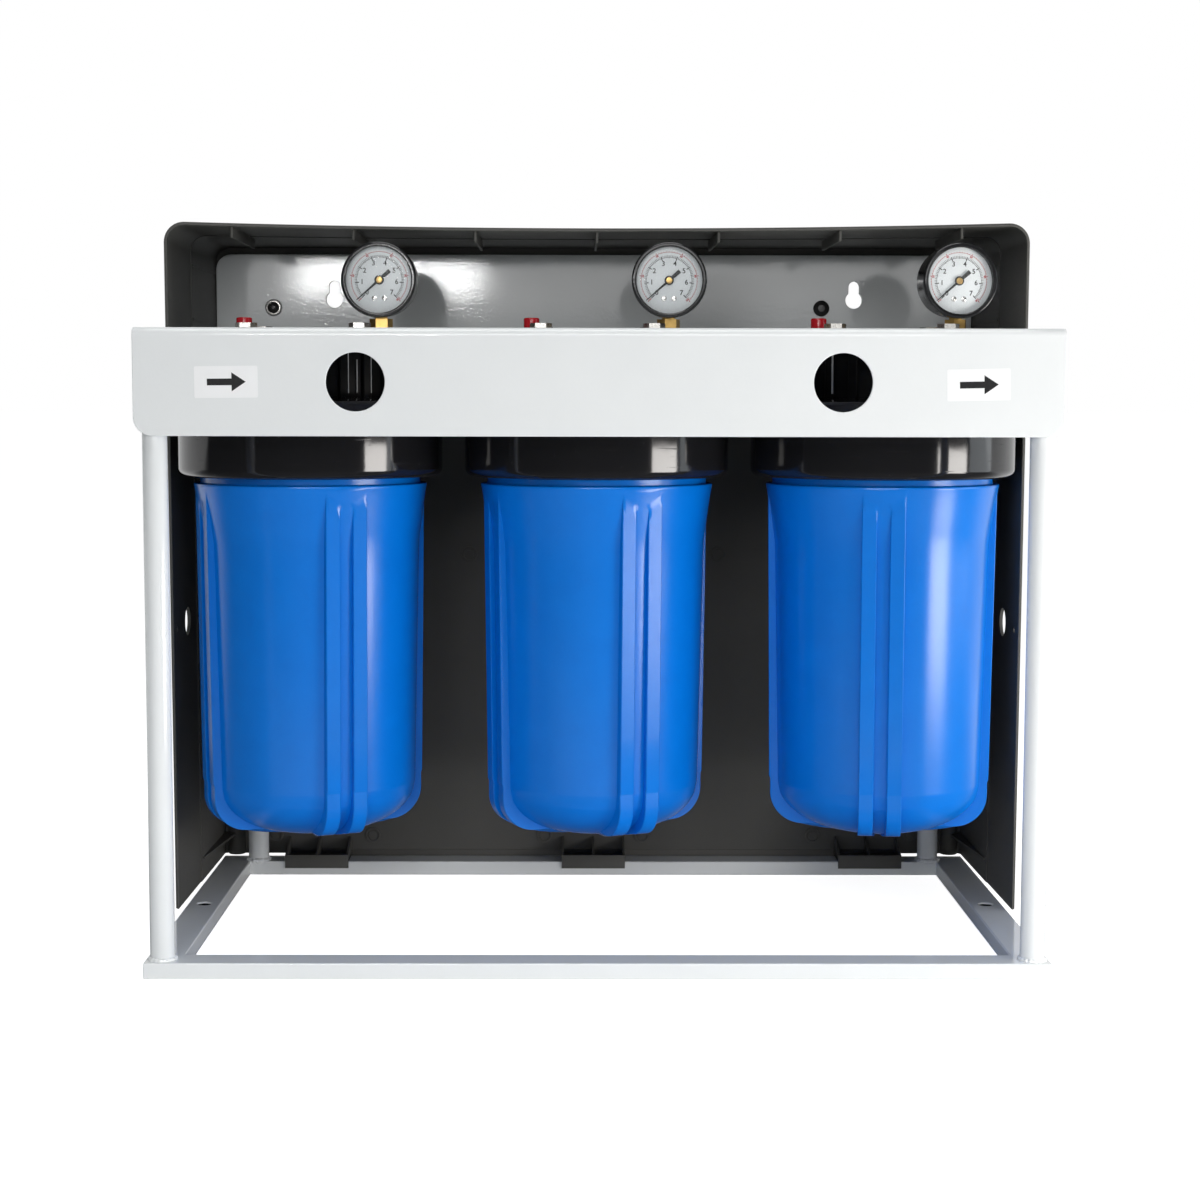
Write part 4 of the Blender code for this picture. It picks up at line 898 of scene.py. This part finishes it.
def head_mesh(x):
    under = collar_crown - collar_plate
    place = Matrix.Translation((x, axis_y, 0.0))
    collar = rounded([(neck_room, collar_bottom, 0.0008), (collar_radius, collar_bottom, collar_lip),
                      (collar_radius, collar_top, 0.003), (hub_radius, collar_crown), (0.0, collar_crown),
                      (0.0, under), (chamber_radius, under), (chamber_radius, bearing_z),
                      (neck_room, bearing_z)], 8)
    return built((add_turned, collar, round_sides, place), (add_ports, place))


def add_ports(bm, place):
    """The threaded ports on the left and the right."""
    end, threads, pitch = port_reach, 12, 0.0014
    profile = [(port_radius, hub_radius / 2), (port_radius, end - 0.0012),
               (port_radius - 0.00035, end - 0.00035), (port_radius - 0.0012, end), (port_bore + pitch, end)]
    for turn in range(threads):
        depth = end - pitch - pitch * turn
        profile += [(port_bore, depth), (port_bore + pitch / 2, depth - pitch / 2)]
    profile.append((port_bore, hub_radius / 2))
    for side in (-1.0, 1.0):
        out = Matrix.Translation((0.0, 0.0, port_z)) @ Matrix.Rotation(math.radians(side * 90.0), 4, "Y")
        add_turned(bm, profile, mid_sides, place @ out)


def hub_mesh(x, rib_start_deg):
    crest, shoulder, groove = hub_rib_radius, hub_rib_radius - 0.0004, hub_rib_radius - 0.0026
    ribs = ((0.0, groove), (0.3, shoulder), (0.7, crest), (3.0, crest), (5.3, crest), (5.7, shoulder),
            (6.0, groove), (10.5, groove))
    outline = []
    for rib in range(hub_rib_count):
        for offset, radius in ribs:
            turn_deg = rib_start_deg + 360.0 / hub_rib_count * rib + offset
            outline.append(polar(radius, turn_deg, (x, axis_y)))
    return built((add_soft_prism, outline, along_z, collar_crown - collar_plate / 2, head_top, 0.0005))


def hub_edges(x, lines):
    """Painted highlights: thin light strips along the hub's ribs, where the lamps would draw bright lines."""
    parts = []
    for turn_deg, depth, rise, half_deg in lines:
        outer = hub_rib_radius + 0.0001 - depth
        inner = outer - 0.0009
        start, end = turn_deg - half_deg, turn_deg + half_deg
        outline = [polar(radius, angle, (x, axis_y))
                   for radius, angle in ((inner, start), (outer, start), (outer, end), (inner, end))]
        top = min(collar_crown + rise, head_top - 0.0010)
        parts.append((add_prism, outline, along_z, collar_crown + 0.0015, top))
    return built(*parts)


def make_heads():
    for n, rib_start_deg in zip(stations, hub_rib_starts_deg):
        x = axes[n].x
        piece(f"head_{n}_moulding", head_mesh(x), black, f"head_{n}", sharp_deg=30.0)
        piece(f"head_{n}_hub", hub_mesh(x, rib_start_deg), matte)
        # Painted highlights on some rib edges
        if n in hub_highlight_lines:
            piece(f"head_{n}_painted_rib_highlights", hub_edges(x, hub_highlight_lines[n]), hub_highlight_paint)


def bolt_mesh():
    """The flanged hexagon head of a bolt."""
    flange, hexagon = 0.0086, 0.0075
    profile = [(0.0, 0.0), (flange, 0.0, 0.0003), (flange, 0.0012, 0.0005), (0.0076, 0.0016), (0.0, 0.0016)]
    mesh = built((add_turned, rounded(profile, 3), small_sides),
                 (add_prism, circle((0.0, 0.0), hexagon, 6), along_z, 0.0014, 0.0061))
    chamfer = [(0.0064, 0.0072), (0.0064, 0.0068), (0.0082, 0.0056), (0.0092, 0.0056), (0.0092, 0.0072)]
    return carved(mesh, (add_turned, chamfer, small_sides))


def make_bolts():
    mesh = bolt_mesh()
    for n in stations:
        for name, side_x, side_y in (("front_left", -1, -1), ("rear_left", -1, 1),
                                     ("front_right", 1, -1), ("rear_right", 1, 1)):
            node = f"head_bolt_{n}_{name}"
            spot = (axes[n].x + side_x * bolt_offset, axis_y + side_y * bolt_offset, shelf_top + seat_gap)
            item = piece(node + "_head", mesh, steel, node, place=Matrix.Translation(spot))
            soften(item, 0.0002, 2, 25.0)


def make_valves():
    radius, well = 0.0074, 0.0058
    cap, cap_height, stem = 0.0055, 0.0100, 0.0026
    foot = head_top + seat_gap
    for n in stations:
        place = Matrix.Translation((axes[n].x - relief_x, axis_y, 0.0))
        node = f"relief_collar_{n}"
        top = high(node).z
        profile = [(well, foot), (radius, foot, 0.0003), (radius, top - 0.0030, 0.0003),
                   (radius * 0.93, top - 0.0026), (radius, top - 0.0022, 0.0003), (radius, top, 0.0005),
                   (well, top, 0.0002), (well, top - 0.007)]
        piece(f"valve_body_{n}", turned(profile, mid_sides, place, 3), steel, node)
        node = f"relief_button_{n}"
        top = high(node).z
        under = top - cap_height
        end = max(low(node).z, head_top + 0.0034)
        profile = [(0.0, top), (cap, top, 0.0012), (cap, under, 0.0005), (stem, under), (stem, end),
                   (0.0, end)]
        piece(f"valve_button_{n}", turned(profile, mid_sides, place, 6), red, node, node)


# Sumps

def flare(z):
    """Radius of the bowl's wall between the parting line and the rim."""
    if z <= flare_z:
        return parting_radius + (flare_radius - parting_radius) * (z - parting_z) / (flare_z - parting_z)
    share = (z - flare_z) / (rim_z - rim_edge - flare_z)
    return flare_radius + (rim_radius - flare_radius) * (0.92 * share + 0.08 * share ** 5)


def dome(z):
    """Radius of the bowl's dome below the parting line."""
    down = min(max((parting_z - z) / (parting_z - sump_bottom), 0.0), 1.0)
    return parting_radius * max(1.0 - down ** dome_power, 0.0) ** (1.0 / dome_power)


def wall_radius(z):
    return flare(z) if z >= parting_z else dome(z)


def rib_face(z):
    """How far out a rib's flat face stands at height z, or 0 where there is no rib."""
    if z >= parting_z:
        return rib_low_radius + (rib_top_radius - rib_low_radius) * (z - parting_z) / (rim_z - parting_z)
    out = rib_low_radius - rib_step
    centre_z = rib_bottom + rib_toe_radius
    if z >= centre_z:
        return out
    if z < rib_bottom:
        return 0.0
    return out - rib_toe_radius + math.sqrt(max(rib_toe_radius ** 2 - (centre_z - z) ** 2, 0.0))


def meeting_height(offset):
    """Height at which the flare overtakes a rib's face at this offset from the pair's middle."""
    low_z, high_z = flare_z, rim_z - rim_edge
    for _ in range(30):
        z = (low_z + high_z) / 2
        if flare(z) < math.hypot(rib_face(z), offset):
            low_z = z
        else:
            high_z = z
    return low_z


def sump_columns():
    """One quarter of the bowl between diagonals: (kind, offset or share, height of the meeting)."""
    columns = []
    body_steps = 9
    top_out = meeting_height(rib_outer)
    top_in = meeting_height(rib_inner)
    faces = (rib_outer - rib_edge, 0.0120, 0.0095, 0.0070, rib_inner + rib_edge)
    for side in (-1.0, 1.0):
        half = [("body", side * (1.0 - step / body_steps), top_out) for step in range(body_steps)]
        half += [(kind, side * rib_outer, top_out) for kind in ("wall", "edge")]
        half += [("face", side * offset, meeting_height(offset)) for offset in faces]
        half += [("edge", side * rib_inner, top_in), ("wall", side * rib_inner, top_in),
                 ("wall", side * rib_inner / 2, top_in)]
        columns += half + [("wall", 0.0, top_in)] if side < 0 else half[::-1][:-1]
    return columns


def column_point(kind, value, z, radius):
    """Offset across and distance out of one column of the quarter at height z."""
    if kind == "body":
        edge = math.asin(rib_outer / radius)
        angle = edge + (math.pi / 4 - edge) * abs(value)
        return math.copysign(radius * math.sin(angle), value), radius * math.cos(angle)
    out = math.sqrt(max(radius ** 2 - value ** 2, 0.0))
    if kind == "face":
        out = max(out, rib_face(z))
    elif kind == "edge":
        out = max(out, rib_face(z) - rib_edge)
    return value, out


def add_sump(bm, n):
    columns = [(quarter, *column) for quarter in range(4) for column in sump_columns()]
    meets = [meet for _, _, _, meet in columns]
    top = rim_z - rim_edge

    def ring(heights, radius=None):
        """Points round the bowl: round where a radius is given, else along the wall and its ribs."""
        points = []
        for (quarter, kind, value, _), z in zip(columns, heights):
            if radius and kind != "body":
                kind = "wall"
            points.append((quarter, *column_point(kind, value, z, radius or wall_radius(z)), z))
        return points

    def level(z, radius=None):
        return ring([z] * len(columns), radius)

    rings = [level(z, radius) for radius, z in (
        (neck_bore - 0.020, 0.110), (neck_bore, 0.130), (neck_bore, neck_top - 0.0030),
        (neck_bore + 0.0012, neck_top - 0.0012), (0.0738, neck_top - 0.0006), (0.0742, neck_top),
        (neck_radius - 0.0005, neck_top), (neck_radius, neck_top - 0.0005), (neck_radius, rim_z + 0.0006),
        (neck_radius + 0.0006, rim_z), (rim_radius - rim_edge, rim_z),
        (rim_radius - rim_edge * 0.3, rim_z - rim_edge * 0.3), (rim_radius, top))]
    for share in (0.25, 0.5, 0.75, 1.0):
        rings.append(ring([top + (meet - top) * share for meet in meets]))
    for share in (0.02, 0.05, 0.09, 0.13, 0.17, 0.25, 0.4, 0.6, 0.8, 0.99, 1.0):
        rings.append(ring([meet + (parting_z - meet) * share for meet in meets]))
    steps = 16
    heights = [parting_z - 0.00002, parting_z - 0.0006, parting_z - 0.002]
    heights += [rib_bottom + rib_toe_radius - rib_toe_radius * math.sin(math.pi / 2 * step / steps)
                for step in range(steps)]
    rings += [level(z) for z in (*heights, rib_bottom + 0.00002)]
    last = rings[-1]
    for share in (0.75, 0.45, 0.22, 0.08, 0.0):
        z = sump_bottom + (rib_bottom - sump_bottom) * share
        scale = dome(z) / dome(rib_bottom) if share else 0.28
        rings.append([(quarter, across * scale, out * scale, z) for quarter, across, out, _ in last])
    turns = [Matrix.Translation((axes[n].x, axis_y, 0.0))
             @ Matrix.Rotation(math.radians(sump_turns_deg[n - 1]), 4, "Z")
             @ Matrix.Rotation(math.pi / 2 * quarter, 4, "Z") for quarter in range(4)]
    add_loft(bm, [[turns[quarter] @ Vector((across, -out, z)) for quarter, across, out, z in points]
                  for points in rings])
    bmesh.ops.remove_doubles(bm, verts=bm.verts, dist=0.000002)


def make_sumps():
    for n in stations:
        piece(f"sump_{n}_bowl", built((add_sump, n)), blue, f"sump_{n}", f"sump_{n}", sharp_deg=38.0)
        repaint(f"sump_seal_{n}", rubber)
        repaint(f"cartridge_{n}", media)


# Gauges, drawn at the origin and facing the front

forward = facing_front(0.0, 0.0, 0.0)
dial_front = seat_gap - case_front
mark_front = dial_front - 0.00008
mark_back = dial_front + 0.0001


def gauge_frame(n):
    joint = joints[f"gauge_pointer_{n}_turn"]
    axis = Vector(joint["axis"])
    return Matrix.Translation(joint["pos_m"]) @ Matrix.Rotation(math.atan2(-axis.x, axis.y), 4, "Z")


def disc(radius, front, back, bend):
    """The profile of a disc whose front edge is rounded."""
    return [(0.0, front), (radius, front, bend), (radius, back), (0.0, back)]


def add_bar(bm, turn_deg, inner, outer, half):
    """A radial mark on the dial; 0 degrees points right and angles run anticlockwise."""
    cos, sin = polar(1.0, turn_deg)
    corners = ((inner, -half), (outer, -half), (outer, half), (inner, half))
    outline = [(cos * u - sin * v, sin * u + cos * v) for u, v in corners]
    add_prism(bm, outline, along_y, mark_front, mark_back)


def add_band(bm, radius, half):
    """A thin arc along the whole scale."""
    steps = 60
    rings = []
    for step in range(steps + 1):
        turn_deg = zero_deg - sweep_deg * step / steps
        rings.append([along_y(*polar(radius + across, turn_deg), y) for across, y in (
            (-half, mark_front), (half, mark_front), (half, mark_back), (-half, mark_back))])
    add_loft(bm, rings)


def add_number(bm, text, turn_deg, radius, height, lean_deg):
    """A plain number on the dial, as a thin mesh."""
    curve = bpy.data.curves.new("number", "FONT")
    for name, value in {"body": text, "size": height * 1.4, "align_x": "CENTER", "align_y": "CENTER",
                        "extrude": 0.00003, "offset": 0.00007, "resolution_u": 3}.items():
        setattr(curve, name, value)
    holder = show("number", curve)
    mesh = evaluated(holder)
    spot = Matrix.Translation(along_y(*polar(radius, turn_deg), mark_front))
    lean = Matrix.Rotation(math.radians(lean_deg), 4, "Y")
    mesh.transform(spot @ lean @ Matrix.Rotation(math.radians(90.0), 4, "X"))
    bm.from_mesh(mesh)
    bpy.data.objects.remove(holder, do_unlink=True)
    bpy.data.meshes.remove(mesh)


def add_scale(bm, marks, band, last, every, number_radius, height, leaning):
    """Marks (inner, outer, half width), an arc (radius, half width) and numbers up to last."""
    for step, mark in enumerate(marks):
        add_bar(bm, zero_deg - sweep_deg * step / (len(marks) - 1), *mark)
    add_band(bm, *band)
    for value in range(0, last + 1, every):
        turn_deg = zero_deg - sweep_deg * value / last
        lean_deg = 90.0 - turn_deg if leaning else 0.0
        add_number(bm, str(value), turn_deg, number_radius, height, lean_deg)


def make_dial(n, place):
    profile = disc(case_radius - 0.0014, dial_front, dial_front + 0.0008, 0.0002)
    face = turned(profile, round_sides, forward, 2)
    piece(f"gauge_face_{n}", face, dial_white, f"gauge_dial_{n}", place=place)
    marks = [(tick_inner - (0.0006 if step % 5 == 0 else 0.0), tick_outer, 0.00015) for step in range(71)]
    marks[::10] = [(tick_inner - 0.0015, tick_outer, 0.00030)] * 8
    mesh = built((add_scale, marks, (tick_inner, 0.00010), 7, 1, tick_inner - 0.0036, 0.0034, False))
    piece(f"gauge_scale_{n}", mesh, ink, place=place)
    marks = [(red_ring, red_ring + 0.0006, 0.00013)] * 51
    marks[::10] = [(red_ring, red_ring + 0.0012, 0.00022)] * 6
    mesh = built((add_scale, marks, (red_ring, 0.00011), 100, 20, red_ring - 0.0011, 0.0014, True))
    piece(f"gauge_red_scale_{n}", mesh, red_ink, place=place)
    z, half, long = -0.0124, 0.00028, 0.0024
    profile = [(0.0, mark_front - 0.0005), (0.0019, mark_front - 0.0003, 0.0003), (0.0019, mark_back),
               (0.0, mark_back)]
    for side, x in (("left", -0.0035), ("right", 0.0035)):
        groove = rectangle(x - half, x + half, z - long, z + long)
        mesh = carved(turned(profile, small_sides, facing_front(x, 0.0, z), 3),
                      (add_prism, groove, along_y, mark_front - 0.001, mark_front - 0.0001))
        piece(f"gauge_dial_screw_{n}_{side}", mesh, chrome, place=place)


def make_pointer(n, place):
    body = f"gauge_pointer_{n}"
    back = dial_front - 0.0004
    turn = Matrix.Rotation(-math.radians(rest_deg), 4, "Y")
    edge = [(0.0208, 0.00025), (0.0030, 0.0008), (-0.0020, 0.0011), (-0.0097, 0.0014)]
    blade = edge + [(u, -v) for u, v in reversed(edge)]
    mesh = built(
        (add_loft, [[turn @ Vector((u, y, v)) for u, v in blade] for y in (back - 0.0011, back - 0.0005)]),
        (add_turned, rounded(disc(0.0032, back - 0.0014, back, 0.0003), 3), mid_sides, forward))
    piece(f"gauge_needle_{n}", mesh, ink, body, body, place)
    boss = turned(disc(0.0023, back - 0.0018, back, 0.0004), mid_sides, forward, 4)
    piece(f"gauge_needle_boss_{n}", boss, brass, None, body, place)


def make_gauges():
    front, back, lip = -bezel_front, bezel_depth - bezel_front, 0.0022 - bezel_front
    outer, inner = case_radius + seat_gap, case_radius - 0.0012
    seat, seat_y = case_radius - 0.0009, -case_front - seat_gap
    ring = [(bezel_window, lip), (bezel_window, front + 0.0005, 0.0004),
            (bezel_window + 0.0008, front, 0.0004), (bezel_radius, front, 0.0014),
            (bezel_radius, back, 0.0006), (outer, back), (outer, seat_y), (seat, seat_y), (seat, lip)]
    floor = case_back - 0.0012
    shell = [(0.0, floor), (inner, floor), (inner, -case_front), (case_radius, -case_front),
             (case_radius, case_back, 0.0022), (0.0, case_back)]
    glass = disc(inner, -lens_front, 0.0015 - lens_front, 0.0003)
    for n in stations:
        place = gauge_frame(n)
        for name, node, profile, finish, steps in (("ring", "bezel", ring, enamel, 6),
                                                   ("shell", "case", shell, enamel, 6),
                                                   ("glass", "lens", glass, lens, 3)):
            mesh = turned(profile, round_sides, forward, steps)
            piece(f"gauge_{name}_{n}", mesh, finish, f"gauge_{node}_{n}", place=place)
        make_dial(n, place)
        make_pointer(n, place)
        repaint(f"gauge_stem_{n}", brass)


def make_nipples():
    for node in ("pipe_nipple_1_2", "pipe_nipple_2_3"):
        repaint(node, steel)


# Studio

def make_floor():
    """A pale floor that shows white behind the filter, and dark through the holes of the base's bars."""
    rings = [[Vector((x, y, 0.0)) for x, y in circle((0.0, 0.0), radius, 64)]
             for radius in (0.5, 1.0, 3.0, 12.0, 60.0)]
    mesh = built((lambda bm: bm.faces.new(add_loft(bm, rings, False)[0]),))
    finish = Finish("floor", {"Roughness": 1.0, "Specular IOR Level": 0.0, "Emission Strength": 1.0})
    spot = [finish.split(finish.place(), way) for way in (0, 1)]
    behind = spot[1].ramp(-0.1, 0.5)
    seen, glossy = finish.studio_rays(behind)
    ahead = glossy * (1.0 - behind)
    tone = finish.mix(finish.noise(0.5), (0.90, 0.90, 0.90), (0.92, 0.92, 0.92))
    finish.give("Base Color", finish.mix(ahead, tone, (0.10, 0.10, 0.10)))
    far = high("base_frame")
    across, back = (finish.math("ABSOLUTE", way) for way in spot)
    in_outer, in_inner = (
        finish.math("LESS_THAN", across, far.x - bar) * finish.math("LESS_THAN", back, far.y - bar)
        for bar in (0.0, base_bar))
    glow = finish.mix(seen * (1.0 - in_outer * (1.0 - in_inner)), (0.0, 0.0, 0.0), (0.90, 0.90, 0.90))
    finish.give("Emission Color", finish.mix(ahead, glow, (0.03, 0.03, 0.03)))
    mesh.materials.append(finish.material)
    show("floor", mesh)


def make_world():
    """Pale light all round; behind the filter it shows white to the camera, in metal and through glass."""
    world = bpy.data.worlds.new("studio")
    tree = Tree(world)
    tree.nodes.clear()
    behind = tree.split(tree.node("ShaderNodeTexCoord", {}, {}, "Generated"), "Y").ramp(0.3, 0.7, "LINEAR")
    seen, _ = tree.studio_rays(behind)
    dim, white = (tree.node("ShaderNodeBackground", {}, {"Color": colour, "Strength": strength})
                  for colour, strength in (((0.93, 0.97, 1.0, 1.0), 0.12), ((1.0, 1.0, 1.0, 1.0), 1.0)))
    light = tree.node("ShaderNodeMixShader", {}, {0: seen, 1: dim, 2: white})
    tree.feed(tree.nodes.new("ShaderNodeOutputWorld").inputs["Surface"], light)
    bpy.context.scene.world = world


def area_light(name, centre, target, width, height, radiance, colour=(1.0, 1.0, 1.0)):
    """A soft box at centre that faces target and looks this bright in a mirror."""
    light = bpy.data.lights.new(name, "AREA")
    light.shape = "RECTANGLE"
    light.size = width
    light.size_y = height
    light.energy = radiance * math.pi * width * height
    light.color = colour
    item = show(name, light)
    facing = (Vector(target) - Vector(centre)).to_track_quat("-Z", "Y").to_matrix().to_4x4()
    item.matrix_world = Matrix.Translation(centre) @ facing
    item.visible_camera = False
    return item


def make_studio():
    make_world()
    area_light("key", (0.972, axis_y - 0.61, 0.16), (0.0, axis_y, 0.18), 0.48, 0.27, 15.0, (1.0, 0.965, 0.93))
    area_light("camera_left", (-0.303, front_y - 1.4, 0.560), (-0.10, back_y, 0.46), 0.29, 0.036, 46.0)
    area_light("plate_sheen", (0.05, front_y - 1.4, 0.585), (0.0, back_y, 0.46), 1.2, 0.16, 3.0)
    area_light("front_high", (0.0, axis_y - 2.2, 1.05), (0.0, axis_y, 0.40), 1.2, 0.6, 3.7)
    area_light("overhead", (0.0, axis_y - 0.30, 2.0), (0.0, axis_y - 0.25, 0.0), 1.2, 1.0, 4.2)
    strip = area_light("low", (0.0, front_y - 0.32, 0.03), (0.0, front_y, 0.03), 1.1, 0.04, 3.8)
    strip.visible_glossy = False
    area_light("right_side", (1.9, axis_y - 0.2, 0.45), (0.0, axis_y, 0.30), 0.8, 0.9, 2.1,
               (0.90, 0.96, 1.0))


def make_camera():
    """The camera that the photograph was solved for."""
    camera = bpy.data.cameras.new("camera")
    camera.sensor_width = 36.0
    camera.lens = 66.144
    camera.shift_x = 0.01675
    camera.clip_start = 0.05
    item = show("camera", camera)
    turn = Matrix.Rotation(math.radians(-0.21), 4, "Z") @ Matrix.Rotation(math.radians(90.0 - 5.208), 4, "X")
    spot = Matrix.Translation((-0.0172, front_y - 1.3968, 0.3737))
    item.matrix_world = spot @ turn @ Matrix.Rotation(math.radians(0.096), 4, "Z")
    bpy.context.scene.camera = item


make_camera()
make_studio()
make_floor()
make_base()
make_posts()
make_bracket()
make_labels()
make_cover()
make_fixings()
make_heads()
make_bolts()
make_valves()
make_sumps()
make_gauges()
make_nipples()
bpy.context.scene.view_settings.view_transform = "Standard"
